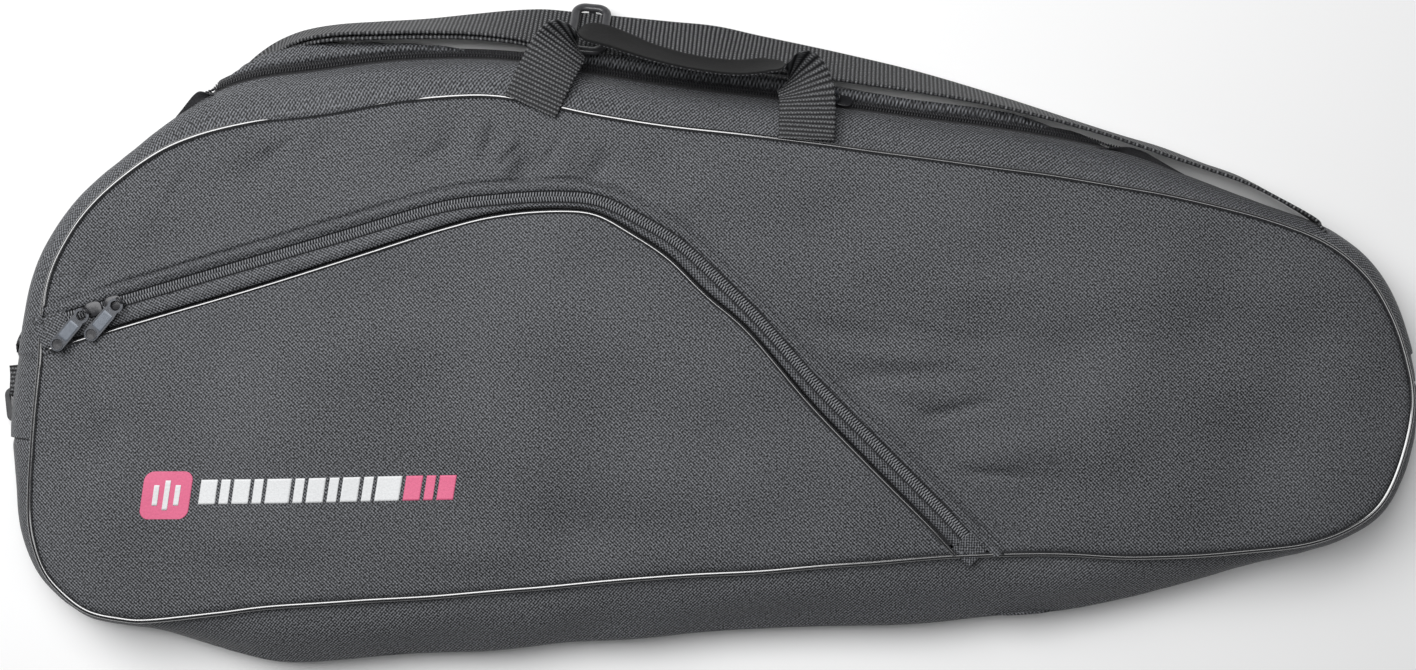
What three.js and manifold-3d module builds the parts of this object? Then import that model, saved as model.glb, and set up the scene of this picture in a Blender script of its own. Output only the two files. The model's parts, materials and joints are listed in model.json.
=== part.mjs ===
// Racket tournament bag, empty, lying on its back panel. Millimetres, +Z up.
// +X runs from the broad shoulder end to the tapered end, +Y towards the carrying edge.
// The bag is two shaped panels joined by a creased gusset, with a zipped front pocket,
// a carrying handle and an adjustable shoulder strap.
import * as THREE from 'three';
import { mergeVertices } from 'three/addons/utils/BufferGeometryUtils.js';
import Module from 'manifold-3d';

const wasm = await Module();
wasm.setup();

// ---- driving dimensions ------------------------------------------------------------

const PANEL = 1.8; // thickness of a lined and padded panel
const WALL = 1.5; // thickness of the gusset fabric
const GAP = 0.4; // clearance between pieces sewn together
const SEAM_LOW = 36; // height of the front seam at the far ends
const SEAM_RISE = 6; // extra height of the front seam at mid length
const SEAM_WAVE = 800; // length of the cosine wave that the front seam follows
const CROWN = 8; // how far the front swells above its seam
const CROWN_REACH = 40; // distance from the seam in which the swell builds up
const CREST_Z = 20; // height of the crease in the gusset
const BACK_Z = PANEL + GAP; // height of the gusset's lower edge
const SEAM_INSET = 1.9; // from the piping's centre to the panel's edge
const SEAM_BITE = 3.5; // width of gusset edge under the panel's edge
const PIPING_R = 1.5;
const BACK_PIPING_R = 1.3;
const POCKET_PIPING_R = 1.25;
const FRONT_STRIP = 33; // front gusset strip, from its seam to the middle of the main zip
const CHAIN_W = 4.8;
const CHAIN_T = 2.2;
const TAPE_T = 0.6;
const TAPE_EDGE = 4; // from the middle of a zip to the fabric's folded edge
const TAPE_SPLIT = 0.5; // half of the slit between the two zip tapes
const WEB_W = 30; // webbing
const WEB_T = 1.8;

// The front seam, seen from above, anticlockwise from the shoulder end:
// [x, y, how far the gusset's crease stands out, how far the back seam is tucked in]
const SEAM = [
  [-368, -7, 18, 18], [-371, -39, 18, 15], [-373, -71, 13, 12], [-372, -93, 10, 9],
  [-366, -113, 7, 6], [-356, -126, 6, 4], [-342, -136, 6, 3], [-325, -140, 6, 3],
  [-308, -141, 8, 3], [-271, -137, 25, 3], [-237, -133, 35, 3], [-174, -129, 35, 3],
  [-110, -124, 35, 3], [-45, -118, 35, 3], [21, -114, 36, 3], [72, -110, 37, 3],
  [126, -106, 38, 3], [179, -105, 36, 3], [222, -107, 24, 3], [276, -104, 12, 3],
  [311, -100, 7, 3], [336, -91, 6, 3], [353, -77, 7, 2], [364, -52, 8, 1],
  [369, -25, 7, 1], [365, 0, 8, 2], [357, 23, 9, 3], [344, 43, 9, 3], [322, 61, 9, 3],
  [292, 73, 10, 3], [249, 84, 16, 3], [201, 93, 25, 3], [147, 101, 30, 3], [94, 108, 30, 3],
  [35, 116, 31, 3], [-19, 122, 32, 3], [-67, 129, 32, 3], [-99, 136, 29, 3],
  [-131, 140, 27, 3], [-174, 137, 33, 3], [-217, 130, 40, 6], [-252, 126, 36, 14],
  [-282, 119, 21, 22], [-308, 107, 13, 24], [-335, 86, 11, 24], [-353, 63, 11, 24],
  [-364, 36, 13, 22],
];
const ENDS = { left: 1.2, right: 24.4 }; // where the two gussets meet, as places in SEAM
const MAIN_ZIP = { from: 27.5, to: 44.5 }; // the main zip's ends, as places in SEAM

// The middle of the pocket zip: [x, y, width of the welt below it]. Its first run is straight.
const POCKET_ZIP = [
  [-372, 15.7, 14], [-352, 21.5, 14], [-302, 36, 14], [-252, 50.5, 14], [-202, 65, 13],
  [-152, 79.6, 12], [-120, 84, 9], [-88, 85.5, 8], [-66, 83, 8], [-45, 73, 9], [-24, 60, 10],
  [-3, 41, 11], [19, 19, 9], [51, -17, 10], [83, -49, 11], [115, -81, 11], [129, -96, 11],
  [147, -115, 11],
];
const RUN = { from: 1, to: 5 }; // the straight run, as places in POCKET_ZIP

// ---- solids ------------------------------------------------------------------------

const bag = new THREE.Group();

/** Adds one named solid with its own finish. */
function add(name, geometry, color, roughness = 0.9, metalness = 0, parent = bag) {
  const finish = new THREE.MeshStandardMaterial({ color, roughness, metalness });
  const mesh = new THREE.Mesh(geometry, finish);
  mesh.name = name;
  parent.add(mesh);
  return mesh;
}

const CLOTH = 0x2f3135;
const LINING = 0x1d1e20;
const VINYL = 0x0c0d0f;
const WEBBING = 0x141518;
const PLASTIC = 0x16171a;
const COIL = 0x1a1b1e;
const PAINTED = 0x1c1d20;
const PULL = 0x44505f;

/** Six times the volume that the triangles enclose. */
function volume(points, faces) {
  return faces.reduce((sum, [a, b, c]) => {
    const cross = new THREE.Vector3().crossVectors(points[b], points[c]);
    return sum + points[a].dot(cross);
  }, 0);
}

/** The triangles of a flat outline, turned the way the outline runs or the other way. */
function cap(outline, follow) {
  const faces = THREE.ShapeUtils.triangulateShape(outline, []);
  const { area } = THREE.ShapeUtils;
  const covered = faces.reduce((sum, face) => sum + area(face.map((v) => outline[v])), 0);
  const same = covered > 0 === area(outline) > 0;
  return faces.map(([a, b, c]) => (same === follow ? [a, b, c] : [a, c, b]));
}

/** A closed solid through rings of points. Its ends are capped unless the rings form a loop. */
function loft(rings, { loop = false, flatten = null } = {}) {
  const points = rings.flat();
  const around = rings[0].length;
  const faces = [];
  const spans = loop ? rings.length : rings.length - 1;
  for (let i = 0; i < spans; i += 1) {
    const next = (i + 1) % rings.length;
    for (let j = 0; j < around; j += 1) {
      const k = (j + 1) % around;
      faces.push([i * around + j, next * around + j, next * around + k]);
      faces.push([i * around + j, next * around + k, i * around + k]);
    }
  }
  if (!loop) {
    const last = (rings.length - 1) * around;
    faces.push(...cap(flatten(rings[0], false), true));
    const farCap = cap(flatten(rings[rings.length - 1], true), false);
    faces.push(...farCap.map((face) => face.map((v) => v + last)));
  }
  return closed(points, faces);
}

/** A BufferGeometry from points and faces, turned outwards. */
function closed(points, faces) {
  const inward = volume(points, faces) < 0;
  const numbers = points.flatMap((p) => p.toArray());
  const geometry = new THREE.BufferGeometry();
  geometry.setAttribute('position', new THREE.Float32BufferAttribute(numbers, 3));
  geometry.setIndex(faces.flatMap(([a, b, c]) => (inward ? [a, c, b] : [a, b, c])));
  return geometry;
}

/** A manifold-3d solid from a three.js geometry. */
function toSolid(geometry) {
  const plain = geometry.clone();
  plain.deleteAttribute('normal');
  plain.deleteAttribute('uv');
  const merged = mergeVertices(plain, 1e-4);
  return new wasm.Manifold(new wasm.Mesh({
    numProp: 3,
    vertProperties: new Float32Array(merged.attributes.position.array),
    triVerts: new Uint32Array(merged.index.array),
  }));
}

/** A three.js geometry from a manifold-3d solid. */
function fromSolid(solid) {
  const { vertProperties, triVerts } = solid.getMesh();
  const geometry = new THREE.BufferGeometry();
  geometry.setAttribute('position', new THREE.BufferAttribute(vertProperties, 3));
  geometry.setIndex(new THREE.BufferAttribute(triVerts, 1));
  return geometry;
}

/** A prism over a closed outline in plan, between two heights. */
function prism(outline, low, high) {
  const options = { depth: high - low, bevelEnabled: false };
  return new THREE.ExtrudeGeometry(new THREE.Shape(outline), options).translate(0, 0, low);
}

// ---- the seam and the shape of the walls ---------------------------------------------

/** A smooth curve through points given as triples. */
function smooth(triples, isLoop = false) {
  const points = triples.map(([a, b, c]) => new THREE.Vector3(a, b, c));
  return new THREE.CatmullRomCurve3(points, isLoop, 'catmullrom');
}

const reachCurve = smooth(SEAM.map(([x, y, reach]) => [x, y, reach]), true);
const tuckCurve = smooth(SEAM.map(([x, y, , tuck]) => [x, y, tuck]), true);
const STATIONS = SEAM.length * 2; // stations round the whole seam

/** Height of the front seam, a slow cosine along the bag. */
const seamHeight = (x) => SEAM_LOW + SEAM_RISE * Math.cos((Math.PI * x) / SEAM_WAVE);

/** The seam at a place in SEAM: its point, outward normal, crease reach and back tuck. */
function seamAt(place) {
  const t = (((place / SEAM.length) % 1) + 1) % 1;
  const p = reachCurve.getPoint(t);
  const along = reachCurve.getTangent(t).setZ(0).normalize();
  return { x: p.x, y: p.y, nx: along.y, ny: -along.x, reach: p.z, tuck: tuckCurve.getPoint(t).z };
}

/** Evenly spaced numbers between two limits, both included. */
function places(from, to, count) {
  return Array.from({ length: count + 1 }, (_, i) => from + ((to - from) * i) / count);
}

const fullSeam = places(0, SEAM.length, STATIONS).slice(0, -1).map(seamAt);

/** A point at an outward offset from the seam, at a height. */
const offset = (s, d, z) => new THREE.Vector3(s.x + s.nx * d, s.y + s.ny * d, z);

/** Distance in plan from a point to the front seam. */
function distanceToSeam(x, y) {
  return Math.min(...fullSeam.map((a, i) => {
    const b = fullSeam[(i + 1) % fullSeam.length];
    const line = new THREE.Line3(new THREE.Vector3(a.x, a.y, 0), new THREE.Vector3(b.x, b.y, 0));
    const p = new THREE.Vector3(x, y, 0);
    return line.closestPointToPoint(p, true, new THREE.Vector3()).distanceTo(p);
  }));
}

/** How far a crowned surface has risen by a point: 0 at the seam, 1 far inside it. */
const swell = (x, y) => 1 - Math.exp(-distanceToSeam(x, y) / CROWN_REACH);

/** Height of the front's outer surface. */
const frontHeight = (x, y) => seamHeight(x) + PANEL + CROWN * swell(x, y);

/** The gusset's outer profile at a seam station, from the front seam to the back seam, as (d, z). */
function profile(s) {
  const top = seamHeight(s.x) - GAP;
  const half = { out: 0.55, up: 0.45, bulge: 2 }; // a point of the rounded upper half
  return [
    new THREE.Vector2(-SEAM_INSET, top),
    new THREE.Vector2(s.reach * half.out, CREST_Z + (top - CREST_Z) * half.up + half.bulge),
    new THREE.Vector2(s.reach, CREST_Z),
    new THREE.Vector2((s.reach - s.tuck) / 2, (CREST_Z + BACK_Z) / 2),
    new THREE.Vector2(-s.tuck - SEAM_INSET, BACK_Z),
  ];
}

/** The point at a length along a profile, which runs straight on past its ends. */
function along(points, length) {
  let left = length;
  for (let i = 0; i < points.length - 1; i += 1) {
    const step = points[i].distanceTo(points[i + 1]);
    if (left <= step || i === points.length - 2) {
      const dir = points[i + 1].clone().sub(points[i]).normalize();
      return points[i].clone().addScaledVector(dir, left);
    }
    left -= step;
  }
  return null;
}

/** The length of a profile. */
function profileLength(points) {
  return points.slice(1).reduce((sum, p, i) => sum + p.distanceTo(points[i]), 0);
}

/** The section of a strip between two lengths along the profile and two heights off it. */
function stripSection(s, from, to, count, low = -WALL, high = 0) {
  const soften = 5; // the length over which the strip turns at a crease
  const points = profile(s);
  const outer = [];
  const inner = [];
  places(from, to ?? profileLength(points), count).forEach((length) => {
    const back = along(points, length - soften);
    const ahead = along(points, length + soften);
    const chord = ahead.clone().sub(back).normalize();
    const n = new THREE.Vector2(-chord.y, chord.x);
    const p = back.add(ahead).add(along(points, length)).divideScalar(3);
    outer.push(p.clone().addScaledVector(n, high));
    inner.unshift(p.clone().addScaledVector(n, low));
  });
  return [...outer, ...inner];
}

/** A strip along part of the seam. Strips side by side share their stations, at every half place. */
function gussetStrip(from, to, sectionOf) {
  const spare = 0.2; // the least step to an end, in half places
  const first = Math.ceil(from * 2 + spare);
  const last = Math.floor(to * 2 - spare);
  const halves = places(first, last, last - first).map((v) => v / 2);
  const stations = [from, ...halves, to].map(seamAt);
  const sections = stations.map(sectionOf);
  const rings = stations.map((s, i) => sections[i].map((p) => offset(s, p.x, p.y)));
  return loft(rings, { flatten: (_, isLast) => sections[isLast ? sections.length - 1 : 0] });
}

// ---- panels --------------------------------------------------------------------------

const backOutline = fullSeam.map((s) => {
  const p = offset(s, -s.tuck - SEAM_INSET, 0);
  return new THREE.Vector2(p.x, p.y);
});
add('back_panel', prism(backOutline, 0, PANEL), CLOTH);

/** A sheet over the whole front, as rings that shrink towards a spine along the bag's middle. */
function frontSheet(inset, heightOf, thickness, shrink) {
  const spineY = -5;
  const spineShare = 0.62;
  const ringAt = (share, drop) => fullSeam.map((s) => {
    const edge = offset(s, -inset, 0);
    const x = edge.x * (spineShare + (1 - spineShare) * share);
    const y = spineY + (edge.y - spineY) * share;
    return new THREE.Vector3(x, y, heightOf(x, y) - drop);
  });
  const top = shrink.map((share) => ringAt(share, 0)).reverse();
  const under = shrink.map((share) => ringAt(share, thickness));
  const flatten = (ring) => ring.map((p) => new THREE.Vector2(p.x, p.y));
  return loft([...top, ...under], { flatten });
}

// The pocket zip's line in plan and in height.
const zipPlan = smooth(POCKET_ZIP);
const runEnds = [RUN.from, RUN.to].map((i) => POCKET_ZIP[i]);
const runHeights = runEnds.map(([x, y]) => frontHeight(x, y));
const RUN_LIFT = 1; // the straight run is a little proud of the cloth at its low end
runHeights[0] += RUN_LIFT;

/** Height of the pocket zip's line: straight along its first run, then on the front's surface. */
function zipHeight(x, y) {
  const share = (x - runEnds[0][0]) / (runEnds[1][0] - runEnds[0][0]);
  return share <= 1 ? runHeights[0] + (runHeights[1] - runHeights[0]) * share : frontHeight(x, y);
}

/** The pocket zip at a place in POCKET_ZIP: point, sideways direction in plan, welt width. */
function zipAt(place) {
  const t = place / (POCKET_ZIP.length - 1);
  const p = zipPlan.getPoint(t);
  const dir = zipPlan.getTangent(t).setZ(0).normalize();
  return { x: p.x, y: p.y, z: zipHeight(p.x, p.y), mx: -dir.y, my: dir.x, w: p.z };
}

const SQUARE = [[0, 0], [1, 0], [1, 1], [0, 1]].map(([a, b]) => new THREE.Vector2(a, b));

/** A bar of rectangular section along the pocket zip, between two side offsets and two heights. */
function zipBar(from, to, steps, sideOf, low, high) {
  const rings = places(from, to, steps).map(zipAt).map((s) => {
    const [a, b] = sideOf(s);
    return [[a, low], [b, low], [b, high], [a, high]]
      .map(([m, z]) => new THREE.Vector3(s.x + s.mx * m, s.y + s.my * m, s.z + z));
  });
  return loft(rings, { flatten: () => SQUARE });
}

/** Plan outline of everything below a line that follows the pocket zip at a side offset. */
function belowZip(sideOf) {
  const far = 500; // well outside the bag
  const steps = 3 * (POCKET_ZIP.length - 1);
  const line = places(0, POCKET_ZIP.length - 1, steps).map(zipAt)
    .map((s) => new THREE.Vector2(s.x + s.mx * sideOf(s), s.y + s.my * sideOf(s)));
  const start = new THREE.Vector2(-far, line[0].y);
  const end = new THREE.Vector2(line[line.length - 1].x, -far);
  return [start, ...line, end, new THREE.Vector2(-far, -far)];
}

const CUT_LOW = 0;
const CUT_HIGH = 90;
const OUTER_RINGS = [1, 0.93, 0.84, 0.7, 0.5, 0.25];
const INNER_RINGS = [1, 0.84, 0.5];
const front = toSolid(frontSheet(SEAM_INSET, frontHeight, PANEL, OUTER_RINGS));
const underUpper = toSolid(prism(belowZip(() => TAPE_EDGE + GAP), CUT_LOW, CUT_HIGH));
const pocketEdge = belowZip((s) => -s.w - POCKET_PIPING_R - GAP);
const underPiping = toSolid(prism(pocketEdge, CUT_LOW, CUT_HIGH));
add('front_upper_panel', fromSolid(front.subtract(underUpper)), CLOTH);
add('front_pocket_panel', fromSolid(front.intersect(underPiping)), CLOTH);

const SAG = 6; // how far the pocket's inner wall hangs below its seam
const WALL_INSET = SEAM_INSET + SEAM_BITE + GAP;
const LINING_T = 0.8;
const wallHeight = (x, y) => seamHeight(x) - GAP - SAG * swell(x, y);
add('pocket_inner_wall', frontSheet(WALL_INSET, wallHeight, LINING_T, INNER_RINGS), LINING);

// ---- gussets and their piping -----------------------------------------------------------

const BUTT = 0.05; // half of the slit where the gussets meet, as a place in SEAM
add('bottom_gusset', gussetStrip(ENDS.left + BUTT, ENDS.right - BUTT, (s) => {
  const outer = profile(s);
  const inner = outer.map((p, i) => {
    const before = outer[Math.max(i - 1, 0)];
    const after = outer[Math.min(i + 1, outer.length - 1)];
    const dir = after.clone().sub(before).normalize();
    return p.clone().add(new THREE.Vector2(dir.y, -dir.x).multiplyScalar(WALL));
  });
  return [...outer, ...inner.reverse()];
}), CLOTH);
const topSpan = [ENDS.right + BUTT, ENDS.left + SEAM.length - BUTT];
const FOLDS = { front: FRONT_STRIP - TAPE_EDGE - GAP, back: FRONT_STRIP + TAPE_EDGE + GAP };
const STRIP_STEPS = 5; // across a gusset strip
const frontStrip = (s) => stripSection(s, 0, FOLDS.front, STRIP_STEPS);
const backStrip = (s) => stripSection(s, FOLDS.back, null, STRIP_STEPS);
add('zip_gusset_front', gussetStrip(...topSpan, frontStrip), CLOTH);
add('zip_gusset_back', gussetStrip(...topSpan, backStrip), CLOTH);

/** A round cord along the whole seam. */
function pipingRing(radius, sides, centreOf) {
  const rings = fullSeam.map((s) => places(0, 2 * Math.PI, sides).slice(0, -1).map((a) => {
    const [d, z] = centreOf(s);
    return offset(s, d + radius * Math.cos(a), z + radius * Math.sin(a));
  }));
  return loft(rings, { loop: true });
}
const PIPING_SEAT = 0.75; // the front piping's centre above the seam, in radii
const frontCord = (s) => [0, seamHeight(s.x) + PIPING_R * PIPING_SEAT];
const backCord = (s) => [-s.tuck, BACK_PIPING_R];
add('front_piping', pipingRing(PIPING_R, 6, frontCord), VINYL, 0.25);
add('back_piping', pipingRing(BACK_PIPING_R, 5, backCord), VINYL, 0.25);

const BINDING = { width: 6, thickness: 1.2 };
/** The binding tape over the raw edges inside a seam, as a flat ring. */
function bindingRing(sideOf, lowOf) {
  const rings = fullSeam.map((s) => [[0, 0], [1, 0], [1, 1], [0, 1]]
    .map(([a, b]) => offset(s, sideOf(s) - a * BINDING.width, lowOf(s) + b * BINDING.thickness)));
  return loft(rings, { loop: true });
}
const BINDING_SIDE = { front: SEAM_INSET + SEAM_BITE + 1.2, back: 2 * SEAM_BITE + 2 };
const BINDING_DROP = 4.4; // from the front seam to the underside of its binding
const underFront = (s) => seamHeight(s.x) - BINDING_DROP;
add('front_seam_binding', bindingRing(() => -BINDING_SIDE.front, underFront), LINING);
add('back_seam_binding', bindingRing((s) => -s.tuck - BINDING_SIDE.back, () => BACK_Z), LINING);

// ---- pocket zip -------------------------------------------------------------------------

const ZIP_SPAN = [0.75, POCKET_ZIP.length - 2];
const ZIP_STEPS = 34;
const TAPE_DROP = 2.6; // from the zip's line down to the tapes
const TAPE_UNDER = 2; // how far the lower tape reaches under the welt
const WELT_T = 1.2;
const fullLength = (sideOf, low, high) => zipBar(...ZIP_SPAN, ZIP_STEPS, sideOf, low, high);
const weltEdge = (s) => -s.w + POCKET_PIPING_R + GAP;
const tapeHeights = [-TAPE_DROP - TAPE_T, -TAPE_DROP];
const chainHeights = [-TAPE_DROP + GAP, -TAPE_DROP + GAP + CHAIN_T];
const chainSides = () => [-CHAIN_W / 2, CHAIN_W / 2];
add('pocket_zip_upper_tape', fullLength(() => [TAPE_SPLIT, TAPE_EDGE], ...tapeHeights), COIL);
add('pocket_zip_lower_tape', fullLength(() => [-TAPE_EDGE - TAPE_UNDER, -TAPE_SPLIT], ...tapeHeights), COIL);
add('pocket_zip_chain', fullLength(chainSides, ...chainHeights), COIL, 0.5);
add('pocket_zip_welt', fullLength((s) => [weltEdge(s), -TAPE_EDGE], -WELT_T - GAP, -GAP), CLOTH);

const LEFT_PATCH = [0.36, ZIP_SPAN[0] - 0.05];
const RIGHT_PATCH = [ZIP_SPAN[1] + 0.05, ZIP_SPAN[1] + 0.2];
const PATCH_STEPS = 3;
const leftSides = (s) => [weltEdge(s), TAPE_EDGE];
const rightSides = () => [-TAPE_EDGE - 3, TAPE_EDGE];
add('pocket_zip_shoulder_patch', zipBar(...LEFT_PATCH, PATCH_STEPS, leftSides, -WELT_T, 0), CLOTH);
add('pocket_zip_lower_patch', zipBar(...RIGHT_PATCH, PATCH_STEPS, rightSides, -WELT_T, 0), CLOTH);

const PIPING_SPAN = [ZIP_SPAN[0] - 0.35, ZIP_SPAN[1] - 0.1];
const PIPING_DROP = 0.2;
const pipingLine = smooth(places(...PIPING_SPAN, 44).map(zipAt)
  .map((s) => [s.x - s.mx * s.w, s.y - s.my * s.w, s.z - PIPING_DROP]));
const pipingSection = new THREE.Shape(places(0, 2 * Math.PI, 6).slice(0, -1)
  .map((a) => new THREE.Vector2(POCKET_PIPING_R * Math.cos(a), POCKET_PIPING_R * Math.sin(a))));
const pipingOptions = { steps: 48, extrudePath: pipingLine };
add('pocket_piping', new THREE.ExtrudeGeometry(pipingSection, pipingOptions), VINYL, 0.25);

// ---- main zip ---------------------------------------------------------------------------

/** A bar along the main zip, between two lengths along the gusset's profile and two depths. */
function mainZipBar(from, to, low, high) {
  const section = (s) => stripSection(s, FRONT_STRIP + from, FRONT_STRIP + to, 2, low, high);
  return gussetStrip(MAIN_ZIP.from, MAIN_ZIP.to, section);
}
const MAIN_TAPE = [-1.8, -1.2]; // heights off the gusset's face
const MAIN_CHAIN = [-0.8, 0.8];
const MAIN_SPLIT = 0.8; // half of the slit between the tapes
const MAIN_EDGE = TAPE_EDGE - 0.2; // from the middle of the zip to a tape's outer edge
add('main_zip_front_tape', mainZipBar(-MAIN_EDGE, -MAIN_SPLIT, ...MAIN_TAPE), COIL);
add('main_zip_back_tape', mainZipBar(MAIN_SPLIT, MAIN_EDGE, ...MAIN_TAPE), COIL);
add('main_zip_chain', mainZipBar(-CHAIN_W / 2, CHAIN_W / 2, ...MAIN_CHAIN), COIL, 0.5);

// ---- sliders ------------------------------------------------------------------------------

const CAP = { length: 9.6, width: 8, lift: 0.6, thickness: 1.3 }; // a slider's top plate
const ARCH = { foot: 1, width: 1.6, inner: 3.4, clear: 3.2, top: 1 }; // the bridge on the plate
const TAB = { thickness: 1.5, width: 7.6, hole: 2.7, rim: 1.4, reach: 20, recess: 2.9, depth: 0.5 };
const TAB_CLEAR = 1.2; // the tab's underside above the plate

/** A plate whose long sides bow out, for a slider, in its own x (travel) and y (across). */
function capOutline() {
  const end = CAP.length / 2;
  const side = CAP.width / 2;
  const nose = side * 0.6; // half of the width left at the two ends
  return [[-end, -nose], [0, -side], [end, -nose], [end, nose], [0, side], [-end, nose]]
    .map(([x, y]) => new THREE.Vector2(x, y));
}

/** A box solid between two corners. */
function block([x0, y0, z0], [x1, y1, z1]) {
  const box = new THREE.BoxGeometry(x1 - x0, y1 - y0, z1 - z0);
  return toSolid(box.translate((x0 + x1) / 2, (y0 + y1) / 2, (z0 + z1) / 2));
}

/** A slider's plate with its bridge, in its own frame. The bridge stands at archX, turned by yaw. */
function sliderBody(archX, yaw) {
  const plateTop = CAP.lift + CAP.thickness;
  const inner = ARCH.inner / 2;
  const outer = inner + ARCH.foot;
  const side = ARCH.width / 2;
  const crown = plateTop + ARCH.clear;
  const bite = 0.2; // how far the bridge is set into the plate
  const whole = block([-outer, -side, plateTop - bite], [outer, side, crown + ARCH.top]);
  const eye = block([-inner, -ARCH.width, plateTop - 2 * bite], [inner, ARCH.width, crown]);
  const turn = [0, 0, THREE.MathUtils.radToDeg(yaw)];
  const bridge = whole.subtract(eye).rotate(turn).translate([archX, 0, 0]);
  return fromSolid(toSolid(prism(capOutline(), CAP.lift, plateTop)).add(bridge));
}

/** A pull tab. Its rim bar lies on the origin and the tab points along -x, flat on z = 0. */
function pullTab() {
  const holeX = -TAB.rim / 2 - TAB.hole;
  const eyeR = TAB.hole + TAB.rim;
  const shoulderX = holeX - eyeR * 1.3; // where the narrow eye has widened to the tab
  const endX = holeX - TAB.reach;
  const endR = TAB.width / 2;
  const sweep = 2.2; // half of the arc round the eye
  const outline = new THREE.Shape();
  outline.absarc(holeX, 0, eyeR, -sweep, sweep, false);
  outline.lineTo(shoulderX, endR);
  outline.absarc(endX, 0, endR, Math.PI / 2, (3 * Math.PI) / 2, false);
  outline.lineTo(shoulderX, -endR);
  const hole = new THREE.Path();
  hole.absarc(holeX, 0, TAB.hole, 0, 2 * Math.PI, true);
  outline.holes.push(hole);
  const options = { depth: TAB.thickness, bevelEnabled: false, curveSegments: 10 };
  const flat = new THREE.ExtrudeGeometry(outline, options);
  const tool = 1; // length of the cylinder that cuts the recess
  const recess = new THREE.CylinderGeometry(TAB.recess, TAB.recess, tool, 20).rotateX(Math.PI / 2);
  recess.translate(endX, 0, TAB.thickness - TAB.depth + tool / 2);
  return fromSolid(toSolid(flat).subtract(toSolid(recess)));
}

/** Adds a slider and its pull tab. The frame's x is the zip's direction and z stands off the cloth. */
function addSlider(name, origin, travel, normal, archX, tabYaw) {
  const frame = new THREE.Group();
  const side = new THREE.Vector3().crossVectors(normal, travel).normalize();
  frame.quaternion.setFromRotationMatrix(new THREE.Matrix4().makeBasis(travel, side, normal));
  frame.position.copy(origin);
  bag.add(frame);
  add(`${name}_slider`, sliderBody(archX, tabYaw), PAINTED, 0.4, 0.6, frame);
  const tab = add(`${name}_pull_tab`, pullTab(), PULL, 0.35, 0.4, frame);
  tab.position.set(archX, 0, CAP.lift + CAP.thickness + TAB_CLEAR);
  tab.rotation.z = tabYaw;
}

const [runStart, runEnd] = runEnds.map(([x, y], i) => new THREE.Vector3(x, y, runHeights[i]));
const run = runEnd.clone().sub(runStart).normalize();
const runNormal = new THREE.Vector3(0, 0, 1).addScaledVector(run, -run.z).normalize();
const TAB_HEADING = Math.atan2(0.76, 0.65); // the tabs lie down towards the shoulder and the pocket
const runHeading = Math.atan2(run.y, run.x);
const SLIDERS = [ // name, distance along the run, where its bridge stands on its plate
  ['pocket_leading', 26.8, 4.4],
  ['pocket_trailing', 15.6, -3.4],
];
SLIDERS.forEach(([name, distance, archX]) => {
  const origin = runStart.clone().addScaledVector(run, distance);
  addSlider(name, origin, run, runNormal, archX, TAB_HEADING - runHeading);
});

// The main zip's slider rides a straight line laid along the zip's flattest stretch.
const MAIN_RUN = {
  start: new THREE.Vector3(-15.7, 148, 24.7),
  end: new THREE.Vector3(178, 121.5, 22.3),
  normal: new THREE.Vector3(0.085, 0.64, 0.77),
  lift: 1.9, // of the slider off the line
  x: 64, // where the slider is parked
  archX: -2.5,
};
const mainRun = MAIN_RUN.end.clone().sub(MAIN_RUN.start).normalize();
const mainNormal = MAIN_RUN.normal.clone()
  .addScaledVector(mainRun, -MAIN_RUN.normal.dot(mainRun)).normalize();
const mainOrigin = MAIN_RUN.start.clone()
  .addScaledVector(mainRun, (MAIN_RUN.x - MAIN_RUN.start.x) / mainRun.x)
  .addScaledVector(mainNormal, MAIN_RUN.lift);
addSlider('main', mainOrigin, mainRun, mainNormal, MAIN_RUN.archX, 0);

// ---- webbing --------------------------------------------------------------------------------

/** A flat ribbon through stations of centre and width direction, each with its own width. */
function ribbon(stations) {
  const rings = stations.map(({ p, across, width }, i) => {
    const ahead = stations[Math.min(i + 1, stations.length - 1)].p;
    const behind = stations[Math.max(i - 1, 0)].p;
    const travel = ahead.clone().sub(behind).normalize();
    const w = across.clone().addScaledVector(travel, -across.dot(travel)).normalize();
    const n = new THREE.Vector3().crossVectors(w, travel).normalize();
    return [[-1, -1], [1, -1], [1, 1], [-1, 1]].map(([a, b]) => p.clone()
      .addScaledVector(w, (a * (width ?? WEB_W)) / 2).addScaledVector(n, (b * WEB_T) / 2));
  });
  return loft(rings, { flatten: () => SQUARE });
}

/** Even stations on two smooth curves, through the first and the last three numbers of each row. */
function smoothRows(rows, count) {
  const columns = [0, 3].map((first) => smooth(rows.map((row) => row.slice(first, first + 3))));
  return places(0, 1, count).map((t) => columns.map((curve) => curve.getPoint(t)));
}

// The handle: centre of the webbing and the direction across it. Both feet are sewn at the front seam.
const HANDLE = [
  [-103.6, 133.8, 45.9, 0.93, -0.37, 0], [-97, 148, 46.5, 0.95, -0.28, -0.05],
  [-89, 163, 46, 0.97, -0.1, -0.2], [-80.5, 172.5, 46, 0.75, 0.2, -0.62],
  [-66, 172, 46, 0.3, 0.4, -0.87], [-40, 163, 45.5, 0.1, 0.38, -0.92],
  [-18.7, 157.5, 45, 0, 0.37, -0.93], [5, 154.5, 45, -0.1, 0.37, -0.93],
  [24.3, 155.5, 45.5, -0.4, 0.3, -0.86], [37, 153.5, 46, -0.85, 0.1, -0.5],
  [43, 143, 46.5, -0.99, 0, -0.1], [44, 130, 46.2, -0.99, 0.1, 0], [43.4, 116.2, 45.9, -0.99, 0.15, 0],
];
add('carry_handle', ribbon(smoothRows(HANDLE, 36).map(([p, across]) => ({ p, across }))), WEBBING);

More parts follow.
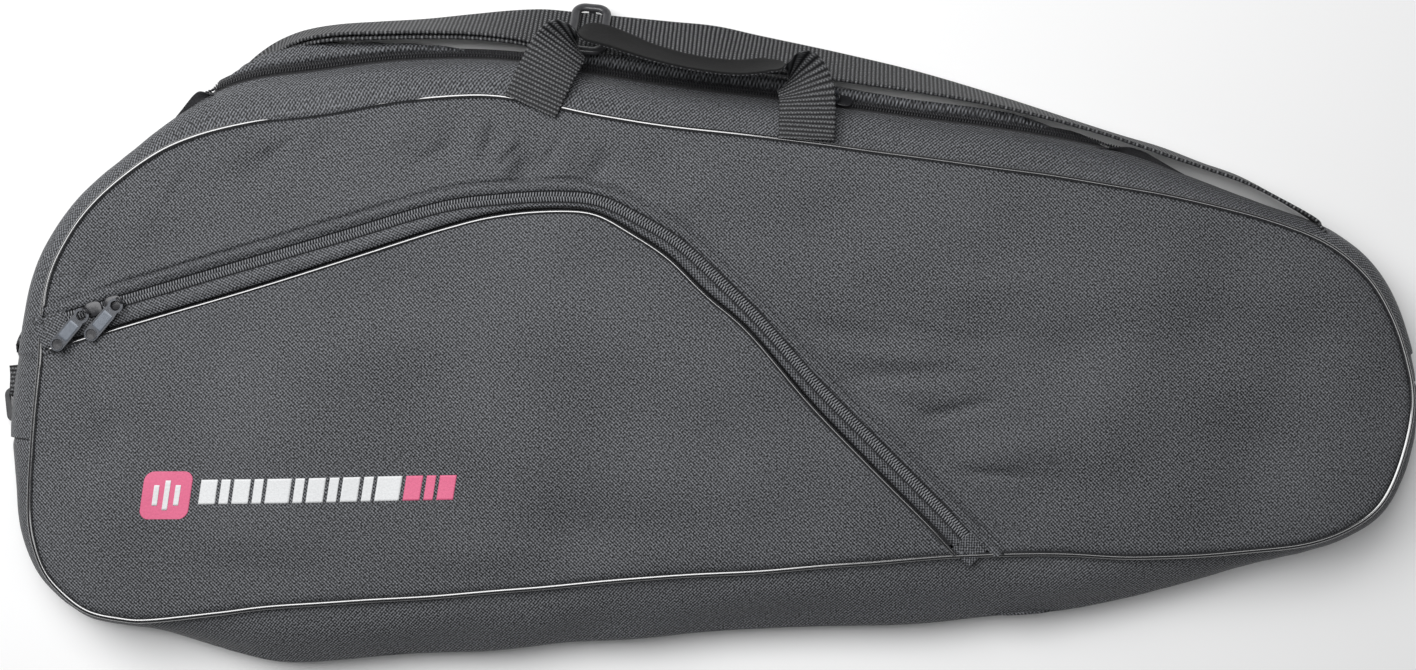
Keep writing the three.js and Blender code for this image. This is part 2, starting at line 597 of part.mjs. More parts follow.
// The shoulder strap, from its sewn end to the ring, by the edge away from the bag:
// [x, y, height, plan width it covers, width of the webbing].
// Where it runs under the shoulder it is gathered narrower.
const FOOT = 2.7; // height of the strap's outer edge where it touches the floor
const STRAP = [
  [318, 79, FOOT, 5, 30], [286, 97, FOOT, 6, 30], [263, 105.5, FOOT, 6, 30], [241, 114, FOOT, 7, 30],
  [219, 120.5, FOOT, 6, 30], [197, 127.5, FOOT, 6, 30], [153, 142, FOOT, 9, 30], [108, 155.5, 4, 14, 30],
  [64, 166, 6, 18, 30], [20, 175.5, 7.5, 22, 30], [-5, 181, 8, 23.5, 30], [-30, 183.5, 8, 23.5, 30],
  [-55, 186, 8, 23.5, 30], [-80, 188.5, 8, 23.5, 30], [-100, 190.2, 7.5, 22, 30], [-118, 189.5, 6, 18, 30],
  [-140, 187.5, 4, 14, 30], [-165, 185, FOOT, 11, 30], [-190, 183.5, FOOT, 10, 30],
  [-212, 182, FOOT, 9, 28], [-230, 179, FOOT, 8, 22], [-244, 174, FOOT, 8, 16.5],
  [-255, 167.5, FOOT, 9, 14], [-264, 160, FOOT, 11, 14], [-272, 151, FOOT, 14, 14.5],
  [-284, 138, FOOT, 16, 16], [-298, 125, FOOT, 18, 18], [-318, 109, FOOT, 19, 19],
  [-338, 90, FOOT, 20, 20], [-355, 68, FOOT, 20, 20], [-367.5, 45, FOOT, 21, 21],
  [-376, 32, FOOT, 21, 21], [-383.5, 22, FOOT, 22, 22], [-387.5, 16, FOOT, 22.5, 22.5],
  [-390.5, 10.5, FOOT, 24, 24], [-391.5, 7.5, FOOT, 25, 25],
];
const LAYER = (WEB_T + 1.1) / 2; // from between the two layers to the middle of one
const strapCourse = smoothRows(STRAP.map((row) => [...row, 0]), 100);

/** The strap's middle between its layers at each station: centre, direction across, normal, width. */
const strapStations = strapCourse.map(([edge, size], i) => {
  const ahead = strapCourse[Math.min(i + 1, strapCourse.length - 1)][0];
  const behind = strapCourse[Math.max(i - 1, 0)][0];
  const travel = ahead.clone().sub(behind).setZ(0).normalize();
  const inward = new THREE.Vector3(-travel.y, travel.x, 0);
  const height = Math.sqrt(Math.max(size.y ** 2 - size.x ** 2, 0));
  const across = inward.multiplyScalar(size.x).setZ(height).normalize();
  const normal = new THREE.Vector3().crossVectors(travel, across).normalize();
  return { p: edge.clone().addScaledVector(across, size.y / 2), across, normal, width: size.y, travel };
});
const layer = (stations, side) => stations.map(({ p, across, normal, width }) => (
  { p: p.clone().addScaledVector(normal, side * LAYER), across, width }));

const GLIDE_X = -73.5; // where the tri-glide sits along the bag
const GLIDE = { length: 22, width: 38, rail: 3.2, end: 5, bar: 4, thick: 2.2 };
const beforeGlide = strapStations.findIndex(({ p }) => p.x < GLIDE_X - GLIDE.bar);
add('shoulder_strap', ribbon(layer(strapStations, 1)), WEBBING);
add('shoulder_strap_return', ribbon(layer(strapStations.slice(beforeGlide), -1)), WEBBING);

// ---- tri-glide ---------------------------------------------------------------------------------

const distance = ({ p }) => Math.abs(p.x - GLIDE_X);
const glideAt = strapStations.reduce((best, s) => (distance(s) < distance(best) ? s : best));

/** The slide adjuster: two end bars over the webbing, a middle bar under it and side rails. */
function triGlide() {
  const top = LAYER + WEB_T / 2 + GAP;
  const bottom = LAYER - WEB_T / 2 - GAP;
  const inner = WEB_W / 2 + 0.7; // half of the space between the rails
  const outer = inner + GLIDE.rail;
  const endX = GLIDE.length / 2;
  const holeX = endX - GLIDE.end;
  const barX = GLIDE.bar / 2;
  const bite = 1; // how far the bars reach into the rails
  const rails = block([-endX, -outer, bottom - GLIDE.thick], [endX, outer, top + GLIDE.thick])
    .subtract(block([-GLIDE.length, -inner, -GLIDE.width], [GLIDE.length, inner, GLIDE.width]));
  const ends = block([-endX, -inner - bite, top], [endX, inner + bite, top + GLIDE.thick])
    .subtract(block([-holeX, -GLIDE.width, 0], [holeX, GLIDE.width, GLIDE.width]));
  const bar = block([-barX, -inner - bite, bottom - GLIDE.thick], [barX, inner + bite, bottom]);
  return fromSolid(rails.add(ends).add(bar));
}
const glide = add('tri_glide', triGlide(), PLASTIC, 0.3);
glide.quaternion.setFromRotationMatrix(new THREE.Matrix4().makeBasis(
  glideAt.travel, new THREE.Vector3().crossVectors(glideAt.normal, glideAt.travel), glideAt.normal));
glide.position.copy(glideAt.p);

// ---- ring at the shoulder end --------------------------------------------------------------------

const RING = { length: 37, width: 19, bar: 2.6, x: -378.5, y: -25, z: 4.1, turn: 0.1 };
const LOOP = { inner: 2.1, outer: 3.8, tail: 4, slope: 9 };

/** The rectangular ring, flat, with rounded corners. */
function ringBody() {
  const corner = 4;
  const rectangle = (shrink) => {
    const r = corner - shrink;
    const x = RING.length / 2 - corner;
    const y = RING.width / 2 - corner;
    const centres = [[x, y], [-x, y], [-x, -y], [x, -y]];
    return centres.flatMap(([cx, cy], quarter) => places(quarter, quarter + 1, 4).map((turn) => {
      const a = (turn * Math.PI) / 2;
      return new THREE.Vector2(cx + r * Math.cos(a), cy + r * Math.sin(a));
    }));
  };
  const shape = new THREE.Shape(rectangle(0));
  shape.holes.push(new THREE.Path(rectangle(RING.bar)));
  const options = { depth: RING.bar, bevelEnabled: false };
  return new THREE.ExtrudeGeometry(shape, options).translate(0, 0, -RING.bar / 2);
}

/** Webbing folded round a bar, in its own x (away from the bar) and y (up), drawn along z. */
function loopOverBar(length, width) {
  const tailTop = LOOP.tail - LOOP.outer;
  const shape = new THREE.Shape();
  shape.absarc(0, 0, LOOP.outer, Math.PI / 2, (3 * Math.PI) / 2, false);
  shape.lineTo(length, -LOOP.outer);
  shape.lineTo(length, tailTop);
  shape.lineTo(LOOP.slope, tailTop);
  const hole = new THREE.Path();
  hole.absarc(0, 0, LOOP.inner, 0, 2 * Math.PI, true);
  shape.holes.push(hole);
  const options = { depth: width, bevelEnabled: false, curveSegments: 10 };
  const solid = new THREE.ExtrudeGeometry(shape, options);
  return solid.translate(0, 0, -width / 2).rotateX(Math.PI / 2);
}

const ringFrame = new THREE.Group();
ringFrame.position.set(RING.x, RING.y, RING.z);
ringFrame.rotation.z = RING.turn;
bag.add(ringFrame);
add('strap_ring', ringBody(), PLASTIC, 0.3, 0, ringFrame);
const TURN = { length: 13.5, width: WEB_W - 0.6 }; // the strap's fold round the ring
const RING_TAB = { length: 18, width: WEB_W - 4 }; // the short webbing that holds the ring
const barY = (RING.width - RING.bar) / 2;
const strapFold = loopOverBar(TURN.length, TURN.width);
const turnLoop = add('shoulder_strap_turn', strapFold, WEBBING, 0.9, 0, ringFrame);
turnLoop.position.y = barY;
turnLoop.rotation.z = Math.PI / 2;
const tabFold = loopOverBar(RING_TAB.length, RING_TAB.width);
const tabLoop = add('ring_tab', tabFold, WEBBING, 0.9, 0, ringFrame);
tabLoop.position.y = -barY;
tabLoop.rotation.z = -Math.PI / 2;

export default bag;
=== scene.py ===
"""A racket tournament bag, empty, lying on its back panel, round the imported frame."""

import json
import math

import bpy
import numpy as np
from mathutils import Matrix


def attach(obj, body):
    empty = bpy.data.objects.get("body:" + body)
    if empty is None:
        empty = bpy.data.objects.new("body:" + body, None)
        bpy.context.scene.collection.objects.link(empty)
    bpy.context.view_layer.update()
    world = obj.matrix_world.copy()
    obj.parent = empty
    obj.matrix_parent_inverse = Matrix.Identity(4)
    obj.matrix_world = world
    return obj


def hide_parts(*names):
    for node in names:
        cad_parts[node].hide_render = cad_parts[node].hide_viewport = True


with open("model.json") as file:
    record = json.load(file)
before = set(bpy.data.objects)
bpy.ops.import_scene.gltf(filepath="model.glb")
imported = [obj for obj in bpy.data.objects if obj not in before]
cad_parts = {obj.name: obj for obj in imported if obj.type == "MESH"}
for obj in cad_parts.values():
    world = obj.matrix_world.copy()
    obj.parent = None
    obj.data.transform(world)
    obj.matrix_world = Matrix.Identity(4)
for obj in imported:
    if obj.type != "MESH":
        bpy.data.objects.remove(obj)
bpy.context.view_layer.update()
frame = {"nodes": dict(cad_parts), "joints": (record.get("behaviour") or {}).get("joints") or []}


# ---- Floor, light and camera ---------------------------------------------------------
# A pale floor under the bag, soft studio light from above and from the shoulder end,
# and a camera straight above, which the bag fills.

MM = 0.001
CAMERA_AT = (-9 * MM, 12 * MM, 1150 * MM)
FLOOR_HALF = 3.0
SOFTBOXES = [  # name, place, size along x and y, power, turn about x and y in degrees
    ("overhead", (-0.55, 0.55, 1.2), (1.4, 1.0), 24.0, (-24, -24)),
    ("strip", (0.4, 0.05, 1.7), (1.7, 0.5), 6.0, (0, 6)),
]


def add_node(tree, kind, settings=None, **inputs):
    """One shader node, with its settings, and inputs given as numbers, colours or sockets."""
    node = tree.nodes.new(kind)
    for key, value in (settings or {}).items():
        setattr(node, key, value)
    for key, value in inputs.items():
        socket = node.inputs[int(key[1:])] if key[0] == "_" else node.inputs[key]
        if isinstance(value, bpy.types.NodeSocket):
            tree.links.new(value, socket)
        else:
            socket.default_value = value
    return node


def maths(tree, operation, first, second=0.0, third=0.0):
    """The output of one Math node."""
    settings = {"operation": operation}
    return add_node(tree, "ShaderNodeMath", settings, _0=first, _1=second, _2=third).outputs[0]


def new_material(name, roughness, **finish):
    """A material with a Principled shader, and its node tree and shader."""
    material = bpy.data.materials.new(name)
    material.use_nodes = True
    shader = material.node_tree.nodes["Principled BSDF"]
    shader.inputs["Roughness"].default_value = roughness
    for key, value in finish.items():
        shader.inputs[key.replace("_", " ")].default_value = value
    return material, material.node_tree, shader


def noise(tree, place, scale, detail=2.0, roughness=0.5):
    """A grey noise of a given number of grains per metre."""
    made = add_node(tree, "ShaderNodeTexNoise", Vector=place, Scale=scale, Detail=detail,
                    Roughness=roughness)
    return made.outputs["Fac"]


def colour_between(tree, share, low, high):
    """A colour that goes from low to high with a share."""
    mix = add_node(tree, "ShaderNodeMix", {"data_type": "RGBA"}, _0=share, _6=(*low, 1),
                   _7=(*high, 1))
    return mix.outputs[2]


def bump(tree, shader, height, depth):
    """Relief on a shader, from a height of 0 to 1 and a depth in metres."""
    made = add_node(tree, "ShaderNodeBump", Height=height, Distance=depth, Strength=1.0)
    tree.links.new(made.outputs["Normal"], shader.inputs["Normal"])


bpy.context.scene.view_settings.view_transform = "Standard"
world = bpy.data.worlds.new("studio")
world.use_nodes = True
world.node_tree.nodes["Background"].inputs["Color"].default_value = (0.93, 0.96, 1.0, 1)
world.node_tree.nodes["Background"].inputs["Strength"].default_value = 0.07
bpy.context.scene.world = world

floor_material, floor_tree, floor_shader = new_material("floor_paint", 0.85)
floor_place = add_node(floor_tree, "ShaderNodeTexCoord").outputs["Object"]
floor_tone = noise(floor_tree, floor_place, 3.0)
floor_tree.links.new(colour_between(floor_tree, floor_tone, (0.93, 0.93, 0.93), (0.97, 0.97, 0.97)),
                     floor_shader.inputs["Base Color"])
floor_mesh = bpy.data.meshes.new("floor")
floor_corners = [(-FLOOR_HALF, -FLOOR_HALF, 0), (FLOOR_HALF, -FLOOR_HALF, 0),
                 (FLOOR_HALF, FLOOR_HALF, 0), (-FLOOR_HALF, FLOOR_HALF, 0)]
floor_mesh.from_pydata(floor_corners, [], [(0, 1, 2, 3)])
floor_mesh.materials.append(floor_material)
floor = bpy.data.objects.new("floor", floor_mesh)
bpy.context.scene.collection.objects.link(floor)

for label, place, (size_x, size_y), power, (turn_x, turn_y) in SOFTBOXES:
    light = bpy.data.lights.new(label, "AREA")
    light.shape = "RECTANGLE"
    light.size = size_x
    light.size_y = size_y
    light.energy = power
    lamp = bpy.data.objects.new(label, light)
    lamp.location = place
    lamp.rotation_euler = (math.radians(turn_x), math.radians(turn_y), 0)
    bpy.context.scene.collection.objects.link(lamp)

camera_data = bpy.data.cameras.new("camera")
camera_data.sensor_width = 36
camera_data.lens = 52.68
camera = bpy.data.objects.new("camera", camera_data)
camera.location = CAMERA_AT
bpy.context.scene.collection.objects.link(camera)
bpy.context.scene.camera = camera


# ---- Front panels ---------------------------------------------------------------------
# Two pieces of padded 600D polyester, cut to the bag's outline and parted by the pocket's
# zip. Each is turned under at the zip and sewn into the piped seam all round.

PANEL = 1.8  # thickness; this and all sizes below in millimetres
SEAM_LOW = 36
SEAM_RISE = 6
SEAM_WAVE = 800
CROWN = 8
CROWN_REACH = 40
PIPING_R = 1.5
SEAM = np.array([  # anticlockwise: x, y, how far the gusset stands out, how far the back tucks in
    (-368, -7, 18, 18), (-371, -39, 18, 15), (-373, -71, 13, 12), (-372, -93, 10, 9),
    (-366, -113, 7, 6), (-356, -126, 6, 4), (-342, -136, 6, 3), (-325, -140, 6, 3),
    (-308, -141, 8, 3), (-271, -137, 25, 3), (-237, -133, 35, 3), (-174, -129, 35, 3),
    (-110, -124, 35, 3), (-45, -118, 35, 3), (21, -114, 36, 3), (72, -110, 37, 3),
    (126, -106, 38, 3), (179, -105, 36, 3), (222, -107, 24, 3), (276, -104, 12, 3),
    (311, -100, 7, 3), (336, -91, 6, 3), (353, -77, 7, 2), (364, -52, 8, 1),
    (369, -25, 7, 1), (365, 0, 8, 2), (357, 23, 9, 3), (344, 43, 9, 3), (322, 61, 9, 3),
    (292, 73, 10, 3), (249, 84, 16, 3), (201, 93, 25, 3), (147, 101, 30, 3), (94, 108, 30, 3),
    (35, 116, 31, 3), (-19, 122, 32, 3), (-67, 129, 32, 3), (-99, 136, 29, 3),
    (-131, 140, 27, 3), (-174, 137, 33, 3), (-217, 130, 40, 6), (-252, 126, 36, 14),
    (-282, 119, 21, 22), (-308, 107, 13, 24), (-335, 86, 11, 24), (-353, 63, 11, 24),
    (-364, 36, 13, 22),
], float)
ZIP = np.array([  # the middle of the pocket's zip: x, y, width of the welt below it
    (-372, 15.7, 14), (-352, 21.5, 14), (-302, 36, 14), (-252, 50.5, 14), (-202, 65, 13),
    (-152, 79.6, 12), (-120, 84, 9), (-88, 85.5, 8), (-66, 83, 8), (-45, 73, 9),
    (-24, 60, 10), (-3, 41, 11), (19, 19, 9), (51, -17, 10), (83, -49, 11), (115, -81, 11),
    (129, -96, 11), (147, -115, 11),
], float)
ZIP_RUN = (1, 5)  # its straight run, as places in ZIP
RUN_LIFT = 1
CLOTH_T = 1.3
FOLD_EDGE = 3.3  # from the middle of the zip to the turned edge of the cloth
TOPSTITCH = 9.4  # from the middle of the zip to the stitching above it
SETTLE = 14  # folds are held flat this near the seam
PUCKER = 0.22
PUCKER_REACH = 6
TUCK = 1.7  # how far the cloth turns down at the piping, and how near to it
TUCK_REACH = 2.2
ZIP_SINK = 0.3
ZIP_REACH = 9
PAD = 1.5  # the padding's rise between the turned edge and its stitching
GROOVE = 1.2  # half the width of the groove that the stitching draws
SEAM_GAP = 1.2  # from the seam's line in to the cloth's edge
EDGE_TURN = np.array([1.2, 0.35, 0.05])  # drop of the first three lines beside the zip
SHOULDER_X = -371  # beyond these the zip has left the bag
LOWER_Y = -108
WAVES = {"seed": 11, "count": 16, "length": (45, 150), "flatness": 260}
FOLD_DEPTH = 2.6
FOLDS = [  # from x, y to x, y; half width; height, where a valley is negative
    (-123, 130, -128, 100, 4, -1.7), (-113, 118, -119, 92, 6, 1.2),
    (-115, 113, -98, 88, 7, -1.8), (-92, 124, -82, 90, 8, 1.1), (-62, 112, -72, 88, 5, -1.2),
    (-45, 116, -16, 84, 8, -1.1), (-140, 132, -152, 104, 7, -1.3), (-30, 118, 20, 70, 12, 0.9),
    (-160, 134, -185, 108, 9, 1.0), (-232, 116, -262, 90, 9, -1.6), (-254, 120, -290, 96, 9, 1.2),
    (-205, 128, -226, 100, 8, -1.0), (-322, 86, -346, 30, 10, -1.4), (-300, 96, -330, 50, 10, 0.9),
    (-352, 10, -338, -60, 10, -1.5), (-338, 0, -312, -80, 14, 1.0), (-318, -22, -350, -70, 8, -0.9),
    (30, 21, 116, 3, 5.5, -0.9), (46, 5, 124, -1, 6, 0.6), (56, -11, 140, -7, 5.5, -0.9),
    (70, -17, 134, -38, 5.5, -0.7), (104, 3, 172, 15, 7, -0.6),
    (96, 30, 190, 44, 12, 1.2), (110, -56, 190, -46, 12, 1.3), (130, -8, 230, 20, 14, -1.0),
    (150, -66, 240, -72, 14, -0.9), (200, 60, 320, 22, 18, 0.9), (240, -40, 340, -52, 18, -0.9),
    (250, 30, 352, -4, 16, -0.8), (-60, 60, -10, 94, 12, 0.9), (20, 60, 90, 90, 16, -0.8),
    (-110, -96, 40, -92, 16, -1.1), (-190, -108, -60, -104, 12, 0.8), (-80, 44, 10, -50, 16, 0.9),
    (-126, 128, -112, 96, 2.6, -0.9), (-104, 118, -126, 96, 2.4, -0.8), (-84, 122, -98, 98, 2.6, -0.9),
    (-134, 120, -170, 100, 3.0, -0.8), (-70, 118, -52, 92, 2.8, -0.8), (-222, 122, -250, 104, 3.0, -0.9),
    (-246, 118, -236, 92, 3.0, -0.8), (-282, 108, -300, 78, 3.2, -0.9), (-330, 60, -352, 24, 3.4, -0.9),
    (82, 22, 130, 6, 3.6, -0.8), (96, -34, 150, -22, 3.6, -0.9), (118, -60, 168, -64, 3.4, -0.8),
    (-300, -112, -200, -116, 12, -0.8), (-250, 20, -120, 46, 18, -0.7), (-160, -30, -60, -80, 22, 0.7),
]


def spline(points, places, closed=False):
    """Uniform Catmull-Rom curve. Between the neighbours p1 and p2, with t from 0 to 1:
    p1 + t(p2 - p0)/2 + t^2(p0 - 5/2 p1 + 2 p2 - p3/2) + t^3(3/2(p1 - p2) + (p3 - p0)/2)."""
    count = len(points)
    if closed:
        index = np.floor(places).astype(int)
        p0, p1, p2, p3 = (points[(index + k) % count] for k in (-1, 0, 1, 2))
    else:
        index = np.clip(np.floor(places).astype(int), 0, count - 2)
        ends = 2 * points[0] - points[1], 2 * points[-1] - points[-2]
        longer = np.vstack([ends[0], points, ends[1]])
        p0, p1, p2, p3 = (longer[index + k] for k in range(4))
    t = (places - index)[..., None]
    square = p0 - 2.5 * p1 + 2 * p2 - 0.5 * p3
    cube = 1.5 * (p1 - p2) + 0.5 * (p3 - p0)
    return p1 + t * (p2 - p0) / 2 + t**2 * square + t**3 * cube


def unit(vectors):
    """Each vector over its own length."""
    return vectors / np.linalg.norm(vectors, axis=-1, keepdims=True)


def seam_at(places):
    """The seam at places in SEAM: point, outward normal in plan, gusset reach and back tuck."""
    step = 0.01
    values = spline(SEAM, places, closed=True)
    along = spline(SEAM, places + step, True) - spline(SEAM, places - step, True)
    along = unit(along[..., :2])
    normal = np.stack([along[..., 1], -along[..., 0]], -1)
    return values[..., :2], normal, values[..., 2], values[..., 3]


def seam_height(x):
    """Height of the front seam: a slow cosine along the bag."""
    return SEAM_LOW + SEAM_RISE * np.cos(np.pi * x / SEAM_WAVE)


def nearest(line, x, y):
    """For points in plan: distance to a polyline, and length along it to the nearest point.
    The foot on each stretch is the projection, held between the stretch's ends."""
    start, stretch = line[:-1], np.diff(line, axis=0)
    size = np.linalg.norm(stretch, axis=1)
    before = np.concatenate([[0], np.cumsum(size)[:-1]])
    points = np.stack([np.ravel(x), np.ravel(y)], -1)
    gaps, lengths = [], []
    for part in np.array_split(points, max(1, len(points) // 5000)):
        away = part[:, None] - start[None]
        t = np.clip((away * stretch).sum(-1) / size**2, 0, 1)
        gap = np.linalg.norm(away - t[..., None] * stretch, axis=-1)
        best = gap.argmin(1)
        rows = np.arange(len(part))
        gaps.append(gap[rows, best])
        lengths.append(before[best] + t[rows, best] * size[best])
    return np.concatenate(gaps).reshape(np.shape(x)), np.concatenate(lengths).reshape(np.shape(x))


seam_line = seam_at(np.linspace(0, len(SEAM), 8 * len(SEAM) + 1))[0]


def crown_height(x, y):
    """The smooth front: the seam's height plus a swell that grows as 1 - exp(-depth / reach)."""
    depth, _ = nearest(seam_line, x, y)
    return seam_height(x) + PANEL + CROWN * (1 - np.exp(-depth / CROWN_REACH))


run_ends = ZIP[list(ZIP_RUN), :2]
run_heights = crown_height(run_ends[:, 0], run_ends[:, 1]) + (RUN_LIFT, 0)


def zip_at(places):
    """The pocket's zip at places in ZIP: point with height, sideways direction, welt width.
    It is straight along its run, and after it follows the front."""
    step = 0.01
    values = spline(ZIP, places)
    along = unit((spline(ZIP, places + step) - spline(ZIP, places - step))[..., :2])
    x, y = values[..., 0], values[..., 1]
    share = (x - run_ends[0, 0]) / (run_ends[1, 0] - run_ends[0, 0])
    on_run = run_heights[0] + (run_heights[1] - run_heights[0]) * share
    z = np.where(share <= 1, on_run, crown_height(x, y))
    side = np.stack([-along[..., 1], along[..., 0], np.zeros_like(x)], -1)
    return np.stack([x, y, z], -1), side, values[..., 2]


zip_points, zip_sides, zip_welts = zip_at(np.linspace(0, len(ZIP) - 1, 240))
zip_line = zip_points[:, :2]
zip_lengths = np.concatenate([[0], np.cumsum(np.linalg.norm(np.diff(zip_line, axis=0), axis=1))])


def creases(x, y):
    """Folds and soft waves. A fold is a hump exp(-(across / width)^2), fading at its ends as
    a sine; the waves are a sum of sines in turned directions."""
    total = np.zeros_like(x)
    for x0, y0, x1, y1, width, height in FOLDS:
        length = math.hypot(x1 - x0, y1 - y0)
        ux, uy = (x1 - x0) / length, (y1 - y0) / length
        along = ((x - x0) * ux + (y - y0) * uy) / length
        across = (y - y0) * ux - (x - x0) * uy
        fade = np.sin(np.pi * np.clip(along, 0, 1)) ** 1.3
        total += FOLD_DEPTH * height * fade * np.exp(-(across / width) ** 2)
    random = np.random.default_rng(WAVES["seed"])
    for wave in random.uniform(*WAVES["length"], WAVES["count"]):
        turn, phase = random.uniform(0, np.pi), random.uniform(0, 2 * np.pi)
        ahead = x * np.cos(turn) + y * np.sin(turn)
        total += wave / WAVES["flatness"] * np.sin(2 * np.pi * ahead / wave + phase)
    return total


def front_height(x, y):
    """The finished front: the crown with its creases, tucked in at the piping, puckered by the
    seam's stitches, level with the zip beside it and padded between it and its stitching."""
    depth, along = nearest(seam_line, x, y)
    z = seam_height(x) + PANEL + CROWN * (1 - np.exp(-depth / CROWN_REACH))
    z += creases(x, y) * (1 - np.exp(-depth / SETTLE))
    gathers = np.sin(along / 1.9 + 2.2 * np.sin(along / 13)) * np.sin(along / 31) ** 2
    z += PUCKER * gathers * np.exp(-depth / PUCKER_REACH)
    z -= TUCK * np.exp(-(depth / TUCK_REACH) ** 2)
    gap, run = nearest(zip_line, x, y)
    zip_z = np.interp(run, zip_lengths, zip_points[:, 2])
    z += (zip_z - ZIP_SINK - z) * np.exp(-(gap / ZIP_REACH) ** 4)
    above = y - np.interp(run, zip_lengths, zip_line[:, 1])
    above = above + (x - np.interp(run, zip_lengths, zip_line[:, 0])) > 0
    pad = np.clip((gap - FOLD_EDGE) / (TOPSTITCH - FOLD_EDGE), 0, 1)
    z += np.where(above, PAD * np.sin(np.pi * pad) ** 0.8, 0)
    z -= np.where(above, PAD * np.exp(-((gap - TOPSTITCH) / GROOVE) ** 2), 0)
    return z


def surface(name, grid, uv, materials, wrap=False, flip=False, caps=False, finish=None):
    """A mesh piece from a grid of points in millimetres: a quad between each four neighbours,
    round again across the grid if it wraps, with its two ends closed if it has caps. A second
    finish covers the faces that the finish function picks."""
    rows, columns = grid.shape[:2]
    number = np.arange(rows * columns).reshape(rows, columns)
    rings = number[0], number[-1]
    if wrap:
        number = np.hstack([number, number[:, :1]])
    quads = np.stack([number[:-1, :-1], number[1:, :-1], number[1:, 1:], number[:-1, 1:]], -1)
    faces = quads.reshape(-1, 4)
    if flip:
        faces = faces[:, ::-1]
    faces = faces.tolist()
    if caps:
        turn = -1 if flip else 1
        faces += [rings[0][::turn].tolist(), rings[1][::-turn].tolist()]
    mesh = bpy.data.meshes.new(name)
    mesh.from_pydata((grid.reshape(-1, 3) * MM).tolist(), [], faces)
    mesh.polygons.foreach_set("use_smooth", np.ones(len(mesh.polygons), bool))
    corners = np.empty(len(mesh.loops), np.int32)
    mesh.loops.foreach_get("vertex_index", corners)
    layer = mesh.uv_layers.new(name="thread")
    layer.data.foreach_set("uv", (uv.reshape(-1, 2)[corners] * MM).ravel())
    for material in materials:
        mesh.materials.append(material)
    if finish is not None:
        mesh.polygons.foreach_set("material_index", finish(len(mesh.polygons)))
    mesh.update()
    piece = bpy.data.objects.new(name, mesh)
    bpy.context.scene.collection.objects.link(piece)
    return piece


def thicken(piece, thickness):
    """Gives a sheet its thickness in millimetres, on the side its faces look away from."""
    wall = piece.modifiers.new("thickness", "SOLIDIFY")
    wall.thickness = thickness * MM
    wall.offset = -1.0
    wall.use_rim = True
    return piece


def fitted(piece, body, node=None):
    """Puts a piece on its body, in place of a frame's piece if it has one."""
    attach(piece, body)
    if node:
        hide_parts(node)
    return piece


def woven_cloth(name, dark, light, pitch=1.0):
    """Plain-woven polyester on its own UV: warp and weft of a given pitch cross where
    sin(u) sin(v) is positive, with a weaker slanted line, and every crossing is a little
    lighter or darker than the next."""
    material, tree, shader = new_material(name, 0.62, Sheen_Weight=0.06, Sheen_Roughness=0.45,
                                          Specular_IOR_Level=0.3)
    place = add_node(tree, "ShaderNodeTexCoord").outputs["UV"]
    parts = add_node(tree, "ShaderNodeSeparateXYZ", Vector=place)
    u, v = parts.outputs[0], parts.outputs[1]
    step = math.pi / (pitch * MM)
    drift = maths(tree, "MULTIPLY", noise(tree, place, 60.0), 2.6)
    across = maths(tree, "SINE", maths(tree, "MULTIPLY_ADD", u, step, drift))
    down = maths(tree, "SINE", maths(tree, "MULTIPLY_ADD", v, step, drift))
    slant = maths(tree, "SINE", maths(tree, "MULTIPLY_ADD", maths(tree, "ADD", u, v), step, drift))
    crossing = maths(tree, "MULTIPLY", maths(tree, "MULTIPLY", across, down), 0.38)
    over = maths(tree, "MULTIPLY_ADD", slant, 0.14, maths(tree, "ADD", crossing, 0.5))
    speckle = noise(tree, place, 1000.0, 1.0)
    grain = maths(tree, "MULTIPLY_ADD", speckle, 2.6, -0.8)
    cloud = noise(tree, place, 9.0, 3.0)
    yarn = maths(tree, "POWER", over, 1.3)
    share = maths(tree, "MULTIPLY", yarn, maths(tree, "MULTIPLY_ADD", grain, 1.5, 0.1))
    share = maths(tree, "ADD", share, maths(tree, "MULTIPLY_ADD", cloud, 0.2, -0.1))
    tree.links.new(colour_between(tree, share, dark, light), shader.inputs["Base Color"])
    rough = maths(tree, "MULTIPLY_ADD", speckle, 0.3, 0.45)
    tree.links.new(rough, shader.inputs["Roughness"])
    bump(tree, shader, maths(tree, "ADD", over, maths(tree, "MULTIPLY", speckle, 0.6)), 0.35 * MM)
    return material


polyester = woven_cloth("polyester_600d", (0.006, 0.0062, 0.007), (0.235, 0.242, 0.26))
lining = woven_cloth("lining_210d", (0.012, 0.012, 0.014), (0.07, 0.07, 0.075), 0.4)


def weave_uv(x, y):
    """UV for cloth whose warp and weft run along two lengths, in millimetres."""
    return np.stack([x, y], -1)


